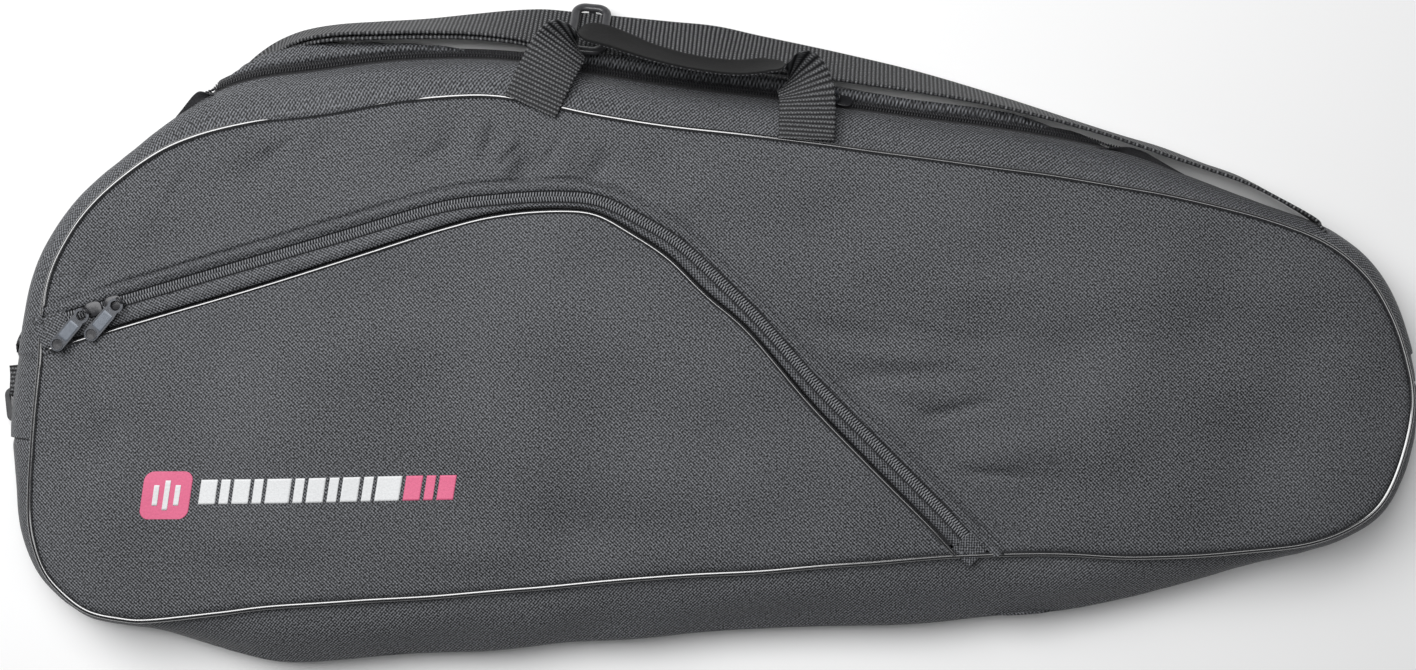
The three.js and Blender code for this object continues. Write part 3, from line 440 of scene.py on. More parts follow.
def front_panel(name, edge_offset, seam_places, rows, flip):
    """A panel as lines from its edge at the zip to the seam. Both edges are divided evenly by
    length, and the lines by a cosine, which sets the points close together near the edges.
    Points of the zip that are outside the seam are left out."""
    edge = zip_line + zip_sides[:, :2] * edge_offset[:, None]
    depth, _ = nearest(seam_line, edge[:, 0], edge[:, 1])
    first = np.arange(len(edge)) < 8
    depth = np.where(first, depth * np.sign(edge[:, 0] - SHOULDER_X), depth)
    depth = np.where(edge[:, 1] < LOWER_Y, -depth, depth)
    edge = edge[depth > 1]
    seam_edge, normal, _, _ = seam_at(np.linspace(*seam_places, 900))
    seam_edge = seam_edge - normal * SEAM_GAP
    sides = []
    for line in (edge, seam_edge):
        length = np.concatenate([[0], np.cumsum(np.linalg.norm(np.diff(line, axis=0), axis=1))])
        even = np.linspace(0, length[-1], rows)
        sides.append(np.stack([np.interp(even, length, line[:, k]) for k in (0, 1)], -1))
    share = (1 - np.cos(np.linspace(0, np.pi, 120))) / 2
    plan = sides[0][:, None] + (sides[1] - sides[0])[:, None] * share[None, :, None]
    x, y = plan[..., 0], plan[..., 1]
    z = front_height(x, y)
    z[:, :3] -= EDGE_TURN
    return surface(name, np.dstack([x, y, z]), weave_uv(x, y), [polyester], flip=flip)


PANELS = [  # name, frame piece, edge off the zip, places of the seam, lines, faces, cut, share
    ("upper_panel_cloth", "front_upper_panel", FOLD_EDGE + 0 * zip_welts, (46.45, 16.42), 460,
     False, (250, 745), 0.46),
    ("pocket_panel_cloth", "front_pocket_panel", -zip_welts - 1.0, (-0.72, 16.1), 420,
     True, (215, 500), 0.72),
]
for name, node, edge_offset, seam_places, lines, flip, cut, share in PANELS:
    panel = thicken(front_panel(name, edge_offset, seam_places, lines, flip), CLOTH_T)
    fitted(panel, "bag", node)


# ---- Print on the pocket ---------------------------------------------------------------
# A plain screen-printed motif in white and rose ink: a slanted badge with three bars, and a
# row of slanted bars beside it. The ink lies on the cloth and shows its weave.

INK_LIFT = 0.16
INK_T = 0.1
SLANT = 0.16
BADGE = {"middle": (-297.5, -73.5), "half": 12.8, "corner": 5.0}
BADGE_BAR_HALF = 1.4
BADGE_BARS = [(-5.6, 5.5), (0.0, 8.0), (5.6, 5.5)]  # place across, half height
STRIPE = {"left": -280.0, "middle": -71.8, "half": 6.6, "gap": 2.0, "rise": 0.02}
STRIPE_BARS = [9, 5, 9, 5, 13, 5, 9, 5, 9, 5, 13]
ROSE_BARS = [9, 5, 9]


def worn_finish(name, roughness, grains, dark, light, relief, detail=(2.0, 0.5), uv=False,
                gloss=None, **finish):
    """A finish whose colour and relief follow one fine noise, given in grains per metre.
    Where a gloss is given, its two numbers make the roughness: first times noise, plus second."""
    material, tree, shader = new_material(name, roughness, **finish)
    place = add_node(tree, "ShaderNodeTexCoord").outputs["UV" if uv else "Object"]
    wear = noise(tree, place, grains, *detail)
    tree.links.new(colour_between(tree, wear, dark, light), shader.inputs["Base Color"])
    if gloss:
        tree.links.new(maths(tree, "MULTIPLY_ADD", wear, *gloss), shader.inputs["Roughness"])
    bump(tree, shader, wear, relief * MM)
    return material


def printing_ink(name, colour):
    """Matte ink over the weave: a colour that thins out where the yarns cross, with relief."""
    thin = tuple(0.72 * c for c in colour)
    return worn_finish(name, 0.55, 900.0, thin, colour, 0.12, uv=True)


white_ink = printing_ink("white_ink", (0.86, 0.87, 0.88))
rose_ink = printing_ink("rose_ink", (0.83, 0.16, 0.30))


def printed(name, x, y, ink, lift=INK_LIFT):
    """A patch of ink: a grid in plan, leaned by the slant, laid on the front."""
    x = x + SLANT * (y - STRIPE["middle"])
    grid = np.dstack([x, y, front_height(x, y) + lift])
    patch = thicken(surface(name, grid, weave_uv(x, y), [ink]), INK_T)
    fitted(patch, "bag")


def rounded_square(middle, half, corner, steps=40):
    """A grid over a square with round corners: rows from side to side, each as long as the
    corner's circle leaves it."""
    v = -half + half * (1 - np.cos(np.linspace(0, np.pi, steps)))
    rise = np.clip(np.abs(v) - (half - corner), 0, corner)
    reach = half - corner + np.sqrt(np.maximum(corner**2 - rise**2, 0))
    u = np.linspace(-1, 1, steps)
    return middle[0] + reach[:, None] * u[None], middle[1] + np.repeat(v[:, None], steps, 1)


def bar(left, width, bottom, top, tilt=0.0):
    """A grid over an upright bar."""
    x, y = np.meshgrid(np.linspace(left, left + width, 12), np.linspace(bottom, top, 14))
    return x, y + tilt * (x - STRIPE["left"])


def as_grid(pair):
    """Swaps a grid's rows and columns, so that its faces look up."""
    return pair[0].T, pair[1].T


printed("print_badge", *as_grid(rounded_square(BADGE["middle"], BADGE["half"], BADGE["corner"])),
        rose_ink)
for number, (place, half) in enumerate(BADGE_BARS):
    x0, y0 = BADGE["middle"]
    upright = bar(x0 + place - BADGE_BAR_HALF, 2 * BADGE_BAR_HALF, y0 - half, y0 + half)
    printed(f"print_badge_bar_{number}", *as_grid(upright), white_ink, 2 * INK_LIFT)
left = STRIPE["left"]
low, high = STRIPE["middle"] - STRIPE["half"], STRIPE["middle"] + STRIPE["half"]
for number, width in enumerate(STRIPE_BARS + ROSE_BARS):
    ink = white_ink if number < len(STRIPE_BARS) else rose_ink
    printed(f"print_bar_{number}", *as_grid(bar(left, width, low, high, STRIPE["rise"])), ink)
    left += width + STRIPE["gap"]


# ---- Gussets ----------------------------------------------------------------------------
# The wall between the two panels: one strip round the bottom, and two strips with the main
# zip between them round the top. All are polyester, creased where the empty bag folds flat.

CREST_Z = 20
BACK_Z = 2.2
SEAM_INSET = 1.9
ENDS = (1.2, 24.4)  # where the gussets meet, as places in SEAM
FRONT_STRIP = 33  # from the front seam to the middle of the main zip
GUSSET_T = 1.2
STITCH_IN = 4.2  # from a strip's turned edge to its stitching
LOWEST = 0.4  # where the slack wall rests on the floor


def gusset_profile(places):
    """The wall's outer profile at places along the seam, from the front seam to the back one:
    five points, as distance out from the seam and height."""
    _, _, reach, tuck = seam_at(places)
    top = seam_height(spline(SEAM, places, True)[..., 0]) - 0.4
    out = [0 * reach - SEAM_INSET, 0.55 * reach, reach, (reach - tuck) / 2, -tuck - SEAM_INSET]
    up = [top, CREST_Z + 0.45 * (top - CREST_Z) + 2.6, 0 * top + CREST_Z,
          0 * top + (CREST_Z + BACK_Z) / 2, 0 * top + BACK_Z]
    return np.stack([np.stack(out, -1), np.stack(up, -1)], -1)


def along_profile(profile, lengths):
    """The point at each length along each profile, which runs straight on past its ends."""
    step = np.diff(profile, axis=1)
    size = np.linalg.norm(step, axis=-1)
    start = np.concatenate([np.zeros((len(size), 1)), np.cumsum(size, 1)], 1)
    index = (lengths[..., None] >= start[:, None, 1:-1]).sum(-1)
    rows = np.arange(len(profile))[:, None]
    share = (lengths - start[rows, index]) / size[rows, index]
    return profile[rows, index] + share[..., None] * step[rows, index]


def gusset_at(places, lengths, lift=0.0):
    """Points and normals of the wall at places along the seam and lengths down its profile.
    A length's point is the mean of the profile over a few millimetres each way, less at the
    crease; the lift is along the normal."""
    profile = gusset_profile(places)
    size = np.linalg.norm(np.diff(profile, axis=1), axis=-1)
    crest = size[:, :1] + size[:, 1:2]
    soft = 2.2 + 6 * (1 - np.exp(-((lengths - crest) / 11) ** 2))
    taps = [along_profile(profile, lengths + k * soft) for k in (-1, -0.5, 0, 0.5, 1)]
    point = sum(taps) / len(taps)
    chord = unit(taps[-1] - taps[0])
    normal = np.stack([-chord[..., 1], chord[..., 0]], -1)
    point = point + normal * np.asarray(lift)[..., None]
    base, out, _, _ = seam_at(places)
    plan = base[:, None] + out[:, None] * point[..., :1]
    sideways = out[:, None] * normal[..., :1]
    return np.dstack([plan, point[..., 1:]]), np.dstack([sideways, normal[..., 1:]])


def gusset_length(places):
    """The whole length of the wall's profile at places along the seam."""
    return np.linalg.norm(np.diff(gusset_profile(places), axis=1), axis=-1).sum(1)


def seam_distance(places):
    """Length along the seam to each place, measured on the places themselves."""
    line = seam_at(places)[0]
    return np.concatenate([[0], np.cumsum(np.linalg.norm(np.diff(line, axis=0), axis=1))])


def slack(run, down, total):
    """Puckers beside the two seams and soft waves between them: sines whose phase drifts."""
    near_front = np.exp(-down / 9)
    near_back = np.exp(-(total - down) / 9)
    puckers = np.sin(run / 3.1 + 2.5 * np.sin(run / 17)) * (0.4 + 0.6 * np.sin(run / 43) ** 2)
    waves = np.sin(run / 19 + down / 9 + 1.7 * np.sin(run / 57)) * np.sin(np.pi * down / total)
    lean = np.sin(run / 31 - down / 14 + 2.0 * np.sin(run / 90)) * np.sin(np.pi * down / total)
    return 0.45 * puckers * (near_front + near_back) + 0.7 * waves + 0.9 * lean


def window(x, low, high, soft):
    """A share that is 1 between two values and eases to 0 outside them."""
    return 1 / ((1 + np.exp((low - x) / soft)) * (1 + np.exp((x - high) / soft)))


def puff(places, down, total):
    """How far the padding swells the wall: beside the front seam a half sine across the wall,
    more along the carrying side and most towards the shoulder, and beyond the main zip
    another, where the strap lies against the wall."""
    along = spline(SEAM, places, True)
    x, carrying = along[:, :1], along[:, 1:2] > 0
    shoulder = np.exp(-((x + 150) / 120) ** 2)
    high = np.where(carrying, 2.6 + 2.8 * shoulder, 1.4)
    wide = np.where(carrying, FRONT_STRIP - FOLD_EDGE, 30.0)
    front = high * np.sin(np.pi * np.clip(down / wide, 0, 1)) ** 0.9
    beyond = np.clip((down - FRONT_STRIP - FOLD_EDGE) / (total - FRONT_STRIP - FOLD_EDGE), 0, 1)
    under_strap = 5.0 * window(x, -235, -120, 10) + 10.0 * window(x, -120, 188, 10)
    back = under_strap * carrying * np.sin(np.pi * beyond**0.6)
    return front, back


def roll_over(places, down, grid):
    """Lays the wall over the piping where the empty bag slumps: inward and up by humps of a
    few millimetres beside the front seam."""
    along = spline(SEAM, places, True)
    share = window(along[:, :1], -325, -45, 14) * (along[:, 1:2] > 0)
    hump = share * np.exp(-((down - 5) / 4) ** 2)
    outward = seam_at(places)[1]
    grid[..., :2] -= 2.7 * hump[..., None] * outward[:, None]
    grid[..., 2] += 3.4 * hump
    return grid


def gusset_strip(name, places, from_length, to_length, columns, sink, fold):
    """A strip of the wall between two lengths down it, or down to its end. A turned edge curls
    in at the fold, beside a line of stitching, and a sink lays an end under its neighbour."""
    run = seam_distance(places)[:, None]
    total = gusset_length(places)[:, None]
    share = np.linspace(0, 1, columns)[None]
    stop = total if to_length is None else to_length + 0 * total
    down = from_length + (stop - from_length) * share
    front, back = puff(places, down, total)
    lift = (slack(run, down, total) + front) * (1 - np.exp(-down / 4)) - sink
    if fold is not None:
        gap = np.abs(down - fold)
        lift = lift * (1 - np.exp(-(gap / 5) ** 2)) - 1.3 * np.exp(-(gap / 0.9) ** 2)
        lift -= 0.5 * np.exp(-((gap - STITCH_IN) / 0.8) ** 2)
    lift = lift + back
    grid, _ = gusset_at(places, down, lift)
    grid = roll_over(places, down, grid)
    grid[..., 2] = np.maximum(grid[..., 2], LOWEST)
    uv = weave_uv(run + 0 * down, down)
    return thicken(surface(name, grid, uv, [polyester], flip=True), GUSSET_T)


bottom_places = np.linspace(ENDS[0] - 0.06, ENDS[1] + 0.06, 620)
bottom_sink = 1.4 * (np.exp(-((bottom_places - bottom_places[0]) / 0.1) ** 2)
                     + np.exp(-((bottom_places - bottom_places[-1]) / 0.1) ** 2))[:, None]
top_places = np.linspace(ENDS[1] + 0.03, ENDS[0] + len(SEAM) - 0.03, 820)
front_fold, back_fold = FRONT_STRIP - FOLD_EDGE, FRONT_STRIP + FOLD_EDGE
STRIPS = [  # name, frame piece, places, from and to down the wall, lines, sink, fold, cut, share
    ("bottom_gusset_cloth", "bottom_gusset", bottom_places, 0.4, None, 40, bottom_sink, None,
     (78, 1010), 0.8),
    ("front_zip_gusset_cloth", "zip_gusset_front", top_places, 0.4, front_fold, 26, 0.0,
     front_fold, (30, 1000), 1.0),
    ("back_zip_gusset_cloth", "zip_gusset_back", top_places, back_fold, None, 26, 0.0,
     back_fold, (38, 1000), 0.95),
]
for name, node, places, start, stop, lines, sink, fold, cut, share in STRIPS:
    strip = gusset_strip(name, places, start, stop, lines, sink, fold)
    fitted(strip, "bag", node)


# ---- Back panel -------------------------------------------------------------------------
# The padded panel that the bag lies on: plain polyester over foam, cut a little smaller than
# the front, and flat on the floor but for soft hollows.

BACK_T = 1.3
BACK_MIDDLE = (0.62, -5.0)  # the middle line: share of the edge's x, and y

back_places = np.linspace(0, len(SEAM), 481)[:-1]
back_base, back_out, _, back_tuck = seam_at(back_places)
back_edge = back_base - back_out * (back_tuck + SEAM_GAP)[:, None]
back_share = np.sin(np.linspace(0, np.pi / 2, 60))
back_middle = np.stack([BACK_MIDDLE[0] * back_edge[:, 0],
                        np.full(len(back_edge), BACK_MIDDLE[1])], -1)
back_plan = back_middle[:, None] + (back_edge - back_middle)[:, None] * back_share[None, :, None]
back_x, back_y = back_plan[..., 0], back_plan[..., 1]
back_depth, _ = nearest(np.vstack([back_edge, back_edge[:1]]), back_x, back_y)
back_rise = 1.45 + 0.15 * np.clip(creases(back_x, back_y) + 1, 0, 3) * (1 - np.exp(-back_depth / 25))
back_rise += 0.5 * np.exp(-(back_depth / 2) ** 2)
back_grid = np.dstack([back_x, back_y, back_rise])
back_grid = np.concatenate([back_grid, back_grid[:1]])
back_uv = weave_uv(back_grid[..., 0], back_grid[..., 1])
back_panel = surface("back_panel_cloth", back_grid[:, 1:], back_uv[:, 1:], [polyester])
thicken(back_panel, BACK_T)
fitted(back_panel, "bag", "back_panel")


# ---- Piping -----------------------------------------------------------------------------
# Black vinyl welting over a cord, sewn into both seams and along the pocket's edge. It is
# glossy, and catches the light as one thin line.

BACK_PIPING_R = 1.3
POCKET_PIPING_R = 1.25
ZIP_SPAN = (0.72, len(ZIP) - 2.02)  # where the zip shows, as places in ZIP


vinyl = worn_finish("black_vinyl", 0.2, 260.0, (0.007, 0.007, 0.008), (0.02, 0.02, 0.022), 0.015,
                    detail=(3.0, 0.5), gloss=(0.3, 0.1), Coat_Weight=1.0, Coat_Roughness=0.1,
                    Coat_IOR=2.2, Specular_IOR_Level=0.8)


def close_ring(piece):
    """Welds the two ends of a ring, which lie on one another."""
    weld = piece.modifiers.new("closed", "WELD")
    weld.merge_threshold = 0.01 * MM


def cord_along(name, node, centre, sideways, radius, closed):
    """A round cord: at each point of its centre line a circle, in the plane of the sideways
    direction and the upright."""
    turn = np.linspace(0, 2 * np.pi, 14, endpoint=False)
    upright = np.array([0, 0, 1.0])
    grid = centre[:, None] + radius * (np.cos(turn)[None, :, None] * sideways[:, None]
                                       + np.sin(turn)[None, :, None] * upright)
    if closed:
        grid = np.concatenate([grid, grid[:1]])
    uv = np.zeros((*grid.shape[:2], 2))
    piece = surface(name, grid, uv, [vinyl], wrap=True, caps=not closed)
    if closed:
        close_ring(piece)
    fitted(piece, "bag", node)


piping_places = np.linspace(0, len(SEAM), 1100, endpoint=False)
seam_base, seam_out, _, seam_tuck = seam_at(piping_places)
seam_run = seam_distance(piping_places)
level = np.zeros(len(seam_base))
seam_side = np.column_stack([seam_out, level])
sway = 0.18 * np.sin(seam_run / 11) * np.sin(seam_run / 67)
front_centre = np.column_stack([seam_base + seam_out * sway[:, None],
                                seam_height(seam_base[:, 0]) + 0.75 * PIPING_R])
cord_along("front_seam_piping", "front_piping", front_centre, seam_side, PIPING_R, True)
back_centre = np.column_stack([seam_base - seam_out * seam_tuck[:, None], level + BACK_PIPING_R])
cord_along("back_seam_piping", "back_piping", back_centre, seam_side, BACK_PIPING_R, True)

pocket_places = np.linspace(ZIP_SPAN[0] - 0.3, ZIP_SPAN[1] + 0.14, 420)
pocket_points, pocket_side, pocket_welt = zip_at(pocket_places)
pocket_centre = pocket_points - pocket_side * pocket_welt[:, None] + np.array([0, 0, 0.1])
cord_along("pocket_edge_piping", "pocket_piping", pocket_centre, -pocket_side, POCKET_PIPING_R,
           False)


# ---- Seam binding and the pocket's inner wall ----------------------------------------------
# Pieces inside the closed bag: the lining between the pocket and the main compartment, and
# the tapes that bind the raw edges of both seams. They keep the frame's shapes.

for node in ("pocket_inner_wall", "front_seam_binding", "back_seam_binding"):
    inner = frame["nodes"][node]
    inner.data.materials.clear()
    inner.data.materials.append(lining)


# ---- Zips -------------------------------------------------------------------------------
# Number 5 nylon coil zips on woven tapes. Each side's coil shows as a row of turns across the
# tape, and the two rows mesh. A flat welt covers the pocket zip's lower tape.

COIL_PITCH = 1.55
COIL_REACH = 2.95
COIL_BACK = 0.25
COIL_LEAN = 0.16
TAPE_EDGES = (0.3, 6.0)  # the part of a tape outside its seam, from the zip's middle
TAPE_LEVELS = (-1.9, -1.3)
MAIN_SPAN = (27.5, 44.5)  # where the main zip runs, as places in SEAM


coil = worn_finish("coil_nylon", 0.38, 700.0, (0.05, 0.051, 0.056), (0.34, 0.35, 0.37), 0.05)
# The main zip's coil is a darker copy of the same nylon: painted shade, for the shade it lies in.
shaded_coil = worn_finish("coil_painted_shade", 0.38, 700.0, (0.01, 0.01, 0.012), (0.06, 0.06, 0.064), 0.05)


def capsule(length, across, high, sides=6):
    """A small rounded bar along its first axis: four rings and two flat ends, as points and
    faces about its middle."""
    ring = np.linspace(0, 2 * np.pi, sides, endpoint=False)
    stations = [(-0.5, 0.45), (-0.36, 1.0), (0.36, 1.0), (0.5, 0.45)]
    points = np.array([(s * length, r * across / 2 * np.cos(a), r * high / 2 * np.sin(a))
                       for s, r in stations for a in ring])
    faces = [(i * sides + j, i * sides + (j + 1) % sides, (i + 1) * sides + (j + 1) % sides,
              (i + 1) * sides + j) for i in range(3) for j in range(sides)]
    ends = [tuple(range(sides))[::-1], tuple(range(3 * sides, 4 * sides))]
    return points, faces, ends


def repeated(name, shape, centres, first, second, third, material):
    """One small shape set at many centres, each turned to its own three directions."""
    points, quads, ends = shape
    axes = np.stack([first, second, third], 1)
    placed = centres[:, None] + np.einsum("pk,nkc->npc", points, axes)
    shift = (np.arange(len(centres)) * len(points))[:, None, None]
    faces = (np.array(quads)[None] + shift).reshape(-1, 4).tolist()
    faces += (np.array(ends)[None] + shift).reshape(-1, len(ends[0])).tolist()
    mesh = bpy.data.meshes.new(name)
    mesh.from_pydata((placed.reshape(-1, 3) * MM).tolist(), [], faces)
    mesh.polygons.foreach_set("use_smooth", np.ones(len(mesh.polygons), bool))
    mesh.materials.append(material)
    mesh.update()
    piece = bpy.data.objects.new(name, mesh)
    bpy.context.scene.collection.objects.link(piece)
    return piece


def even_steps(points, pitch, start):
    """Where equal steps of length fall along a polyline, as numbers of its points."""
    length = np.concatenate([[0], np.cumsum(np.linalg.norm(np.diff(points, axis=0), axis=1))])
    return np.interp(np.arange(start, length[-1], pitch), length, np.arange(len(points)))


def sample(values, numbers):
    """Rows of an array at numbers between whole ones, by straight lines."""
    whole = np.arange(len(values))
    return np.column_stack([np.interp(numbers, whole, values[:, k]) for k in range(3)])


def coil_rows(name, points, side, up, node, height, nylon):
    """The two meshed rows of coil. Each turn leans a little and reaches past the middle."""
    turn_shape = capsule(COIL_REACH, 0.9, 1.35)
    for sign, start in ((1, 0.4), (-1, 0.4 + COIL_PITCH / 2)):
        numbers = even_steps(points, COIL_PITCH, start)
        middle, across, normal = (sample(v, numbers) for v in (points, side, up))
        ahead = unit(np.gradient(middle, axis=0))
        lean = unit(across + COIL_LEAN * sign * ahead)
        centre = middle + across * sign * (COIL_REACH / 2 - COIL_BACK) + normal * height
        piece = repeated(f"{name}_{'upper' if sign > 0 else 'lower'}", turn_shape, centre,
                         lean, np.cross(normal, lean), normal, nylon)
        fitted(piece, "bag", node)


def strip_beside(name, points, side, up, from_side, to_side, low, high, material, bend=0.0):
    """A flat strip beside a line: a rounded section between two side offsets and two heights,
    crowned by a bend across its width."""
    across = np.linspace(0, 1, 9)
    crown = bend * np.sin(np.pi * across)
    a = from_side[:, None] + (to_side - from_side)[:, None] * across[None]
    flat = points[:, None] + side[:, None] * a[..., None]
    top = flat + up[:, None] * (high + crown)[None, :, None]
    under = flat + up[:, None] * (low + 0.5 * crown)[None, :, None]
    grid = np.concatenate([top, under[:, ::-1]], 1)
    run = np.concatenate([[0], np.cumsum(np.linalg.norm(np.diff(points, axis=0), axis=1))])
    wide = np.concatenate([a, a[:, ::-1]], 1)
    uv = weave_uv(run[:, None] + 0 * wide, wide)
    return surface(name, grid, uv, [material], wrap=True, caps=True)


def zip_tapes(names, nodes, points, side, up):
    """A zip's two tapes: strips beside it, one on each side."""
    near, far = (edge + 0 * points[:, 0] for edge in TAPE_EDGES)
    for name, node, inner, outer in zip(names, nodes, (near, -far), (far, -near)):
        tape = strip_beside(name, points, side, up, inner, outer, *TAPE_LEVELS, lining)
        fitted(tape, "bag", node)


def wall_line(places, down, lift=0.0):
    """A line along the wall at one length down its profile: its points and normals."""
    points, normals = gusset_at(places, np.full((len(places), 1), float(down)), lift)
    return points[:, 0], normals[:, 0]


zip_mid, zip_side, welt_width = zip_at(np.linspace(*ZIP_SPAN, 420))
zip_up = unit(np.cross(np.gradient(zip_mid, axis=0), zip_side))
coil_rows("pocket_zip_coil", zip_mid, zip_side, zip_up, "pocket_zip_chain", -0.45, coil)
zip_tapes(("pocket_zip_upper_tape_cloth", "pocket_zip_lower_tape_cloth"),
          ("pocket_zip_upper_tape", "pocket_zip_lower_tape"), zip_mid, zip_side, zip_up)

welt = strip_beside("pocket_zip_welt_cloth", zip_mid, zip_side, zip_up,
                    2.5 - welt_width, -3.2 + 0 * welt_width, -1.9, -1.1, polyester, 1.5)
fitted(welt, "bag", "pocket_zip_welt")

PATCHES = [  # name, frame piece, places in ZIP, far edge, underside and top, cut, share
    ("pocket_zip_shoulder_patch_cloth", "pocket_zip_shoulder_patch", (0.2, 1.0), 5.2, (-1.0, 0.1),
     (24, 20), 0.74),
    ("pocket_zip_lower_patch_cloth", "pocket_zip_lower_patch",
     (ZIP_SPAN[1] - 0.02, ZIP_SPAN[1] + 0.52), 4.6, (-1.8, -0.4), (24, 15), 0.66),
]
for name, node, span, far_edge, levels, cut, share in PATCHES:
    middle, side, width = zip_at(np.linspace(*span, 24))
    upright = np.tile([0, 0, 1.0], (24, 1))
    patch = strip_beside(name, middle, side, upright, 1.0 - width, far_edge + 0 * width, *levels,
                         polyester, 0.5)
    fitted(patch, "bag", node)

main_places = np.linspace(*MAIN_SPAN, 700)
main_mid, main_normal = wall_line(main_places, FRONT_STRIP)
main_side = unit(np.cross(main_normal, np.gradient(main_mid, axis=0)))
# The main zip takes the coil copy that is painted in shade.
coil_rows("main_zip_coil", main_mid, main_side, main_normal, "main_zip_chain", 0.2, shaded_coil)
zip_tapes(("main_zip_tape_a", "main_zip_tape_b"), ("main_zip_front_tape", "main_zip_back_tape"),
          main_mid, main_side, main_normal)


# ---- Topstitching -------------------------------------------------------------------------
# Lock-stitch in black polyester thread, along the cloth beside both zips. Each stitch is a
# short rounded length of thread, sunk at both ends.

STITCH = {"length": 2.5, "pitch": 3.2, "thick": 0.55}


thread = worn_finish("sewing_thread", 0.45, 1500.0, (0.015, 0.015, 0.017), (0.09, 0.09, 0.1), 0.06,
                     detail=(1.0, 0.5))
stitch_shape = capsule(STITCH["length"], STITCH["thick"], STITCH["thick"])


def stitched(name, points, up):
    """A row of stitches along a line of points."""
    numbers = even_steps(points, STITCH["pitch"], 0.0)
    middle, normal = sample(points, numbers), sample(up, numbers)
    ahead = unit(np.gradient(middle, axis=0))
    row = repeated(name, stitch_shape, middle, ahead, np.cross(normal, ahead), normal, thread)
    fitted(row, "bag")


row_line = zip_mid + zip_side * TOPSTITCH
row_line = row_line[nearest(seam_line, row_line[:, 0], row_line[:, 1])[0] > 4]
row_line[:, 2] = front_height(row_line[:, 0], row_line[:, 1]) + 0.1
stitched("pocket_zip_topstitch", row_line, np.tile([0, 0, 1.0], (len(row_line), 1)))
for label, down in (("front", front_fold - STITCH_IN), ("back", back_fold + STITCH_IN)):
    stitched(f"main_zip_{label}_topstitch", *wall_line(main_places, down, -0.25))


# ---- Zip sliders and pulls --------------------------------------------------------------------
# Cast zinc sliders, painted black, two on the pocket's zip and one on the main zip. Each has a
# domed cap, a bridge, and a pull with an eye at one end, a round dimple at the other and an
# enamelled face between them.

CAP = {"half_length": 4.8, "half_width": 4.0, "lift": 0.6, "thick": 1.3, "dome": 0.55,
       "rim": 0.35}
BRIDGE = {"half": 2.25, "rise": 3.7, "wire": 0.62, "sunk": 0.3}
PULL = {"thick": 1.5, "face_from": 8.4, "face_to": 19.6, "face_half": 3.05, "face_lift": 0.22,
        "dimple_at": 23.4, "dimple_r": 3.0}
joints = {joint["name"]: joint for joint in frame["joints"]}


def painted_zinc(name, dark, light, roughness):
    """Paint on cast zinc: a fine orange-peel relief and paler wear."""
    return worn_finish(name, roughness, 420.0, dark, light, 0.06, detail=(4.0, 0.7),
                       gloss=(0.25, roughness - 0.1), Metallic=0.25, Coat_Weight=0.2,
                       Coat_Roughness=0.2)


black_paint = painted_zinc("slider_black_paint", (0.016, 0.016, 0.018), (0.05, 0.05, 0.055), 0.32)
pull_paint = painted_zinc("pull_dark_paint", (0.03, 0.033, 0.039), (0.09, 0.095, 0.11), 0.36)
enamel = painted_zinc("pull_blue_grey_enamel", (0.085, 0.097, 0.118), (0.17, 0.19, 0.222), 0.42)


def copy_of(node, name, material, body, edge):
    """A finer copy of a frame piece: its triangles welded and its edges rounded."""
    piece = bpy.data.objects.new(name, frame["nodes"][node].data.copy())
    bpy.context.scene.collection.objects.link(piece)
    piece.data.materials.clear()
    piece.data.materials.append(material)
    weld = piece.modifiers.new("welded", "WELD")
    weld.merge_threshold = 0.004 * MM
    rounded = piece.modifiers.new("rounded", "BEVEL")
    rounded.width = edge * MM
    rounded.segments = 3
    rounded.limit_method = "ANGLE"
    rounded.angle_limit = math.radians(35)
    return fitted(piece, body, node)


def domed_cap(name, centre, ahead, across, up, body, node):
    """The cap: an oval pillow. Rings go out from the middle, and the height falls as
    1 - share^3 to a rounded rim, then back under to the middle."""
    outward = np.linspace(0.02, 1, 12)
    share = np.concatenate([outward, [1.0, 0.97, 0.6, 0.02]])
    top = CAP["dome"] * (1 - outward**3) + CAP["thick"] - CAP["rim"]
    drop = np.concatenate([top, [CAP["rim"] * CAP["thick"], 0.0, 0.0, 0.0]]) + CAP["lift"]
    turn = np.linspace(0, 2 * np.pi, 36, endpoint=False)
    squared = (np.abs(np.cos(turn)) ** 3 + np.abs(np.sin(turn)) ** 3) ** (-1 / 3)
    x = CAP["half_length"] * share[:, None] * (np.cos(turn) * squared)[None]
    y = CAP["half_width"] * share[:, None] * (np.sin(turn) * squared)[None]
    grid = centre + x[..., None] * ahead + y[..., None] * across + drop[:, None, None] * up
    piece = surface(name, grid, np.dstack([x, y]), [black_paint], wrap=True, caps=True)
    fitted(piece, body, node)


def bridge(name, centre, across, along, up, body):
    """The bridge over the cap: a round wire bent into an arch, feet on the cap."""
    angle = np.linspace(0, np.pi, 25)
    line = centre + (BRIDGE["half"] * np.cos(angle))[:, None] * across + (
        BRIDGE["rise"] * np.sin(angle) ** 0.6)[:, None] * up
    out = unit(np.gradient(line, axis=0))
    side = np.tile(along, (len(line), 1))
    normal = np.cross(out, side)
    turn = np.linspace(0, 2 * np.pi, 12, endpoint=False)
    grid = line[:, None] + BRIDGE["wire"] * (np.cos(turn)[None, :, None] * side[:, None]
                                             + np.sin(turn)[None, :, None] * normal[:, None])
    uv = np.zeros((*grid.shape[:2], 2))
    fitted(surface(name, grid, uv, [black_paint], wrap=True, caps=True, flip=True), body)


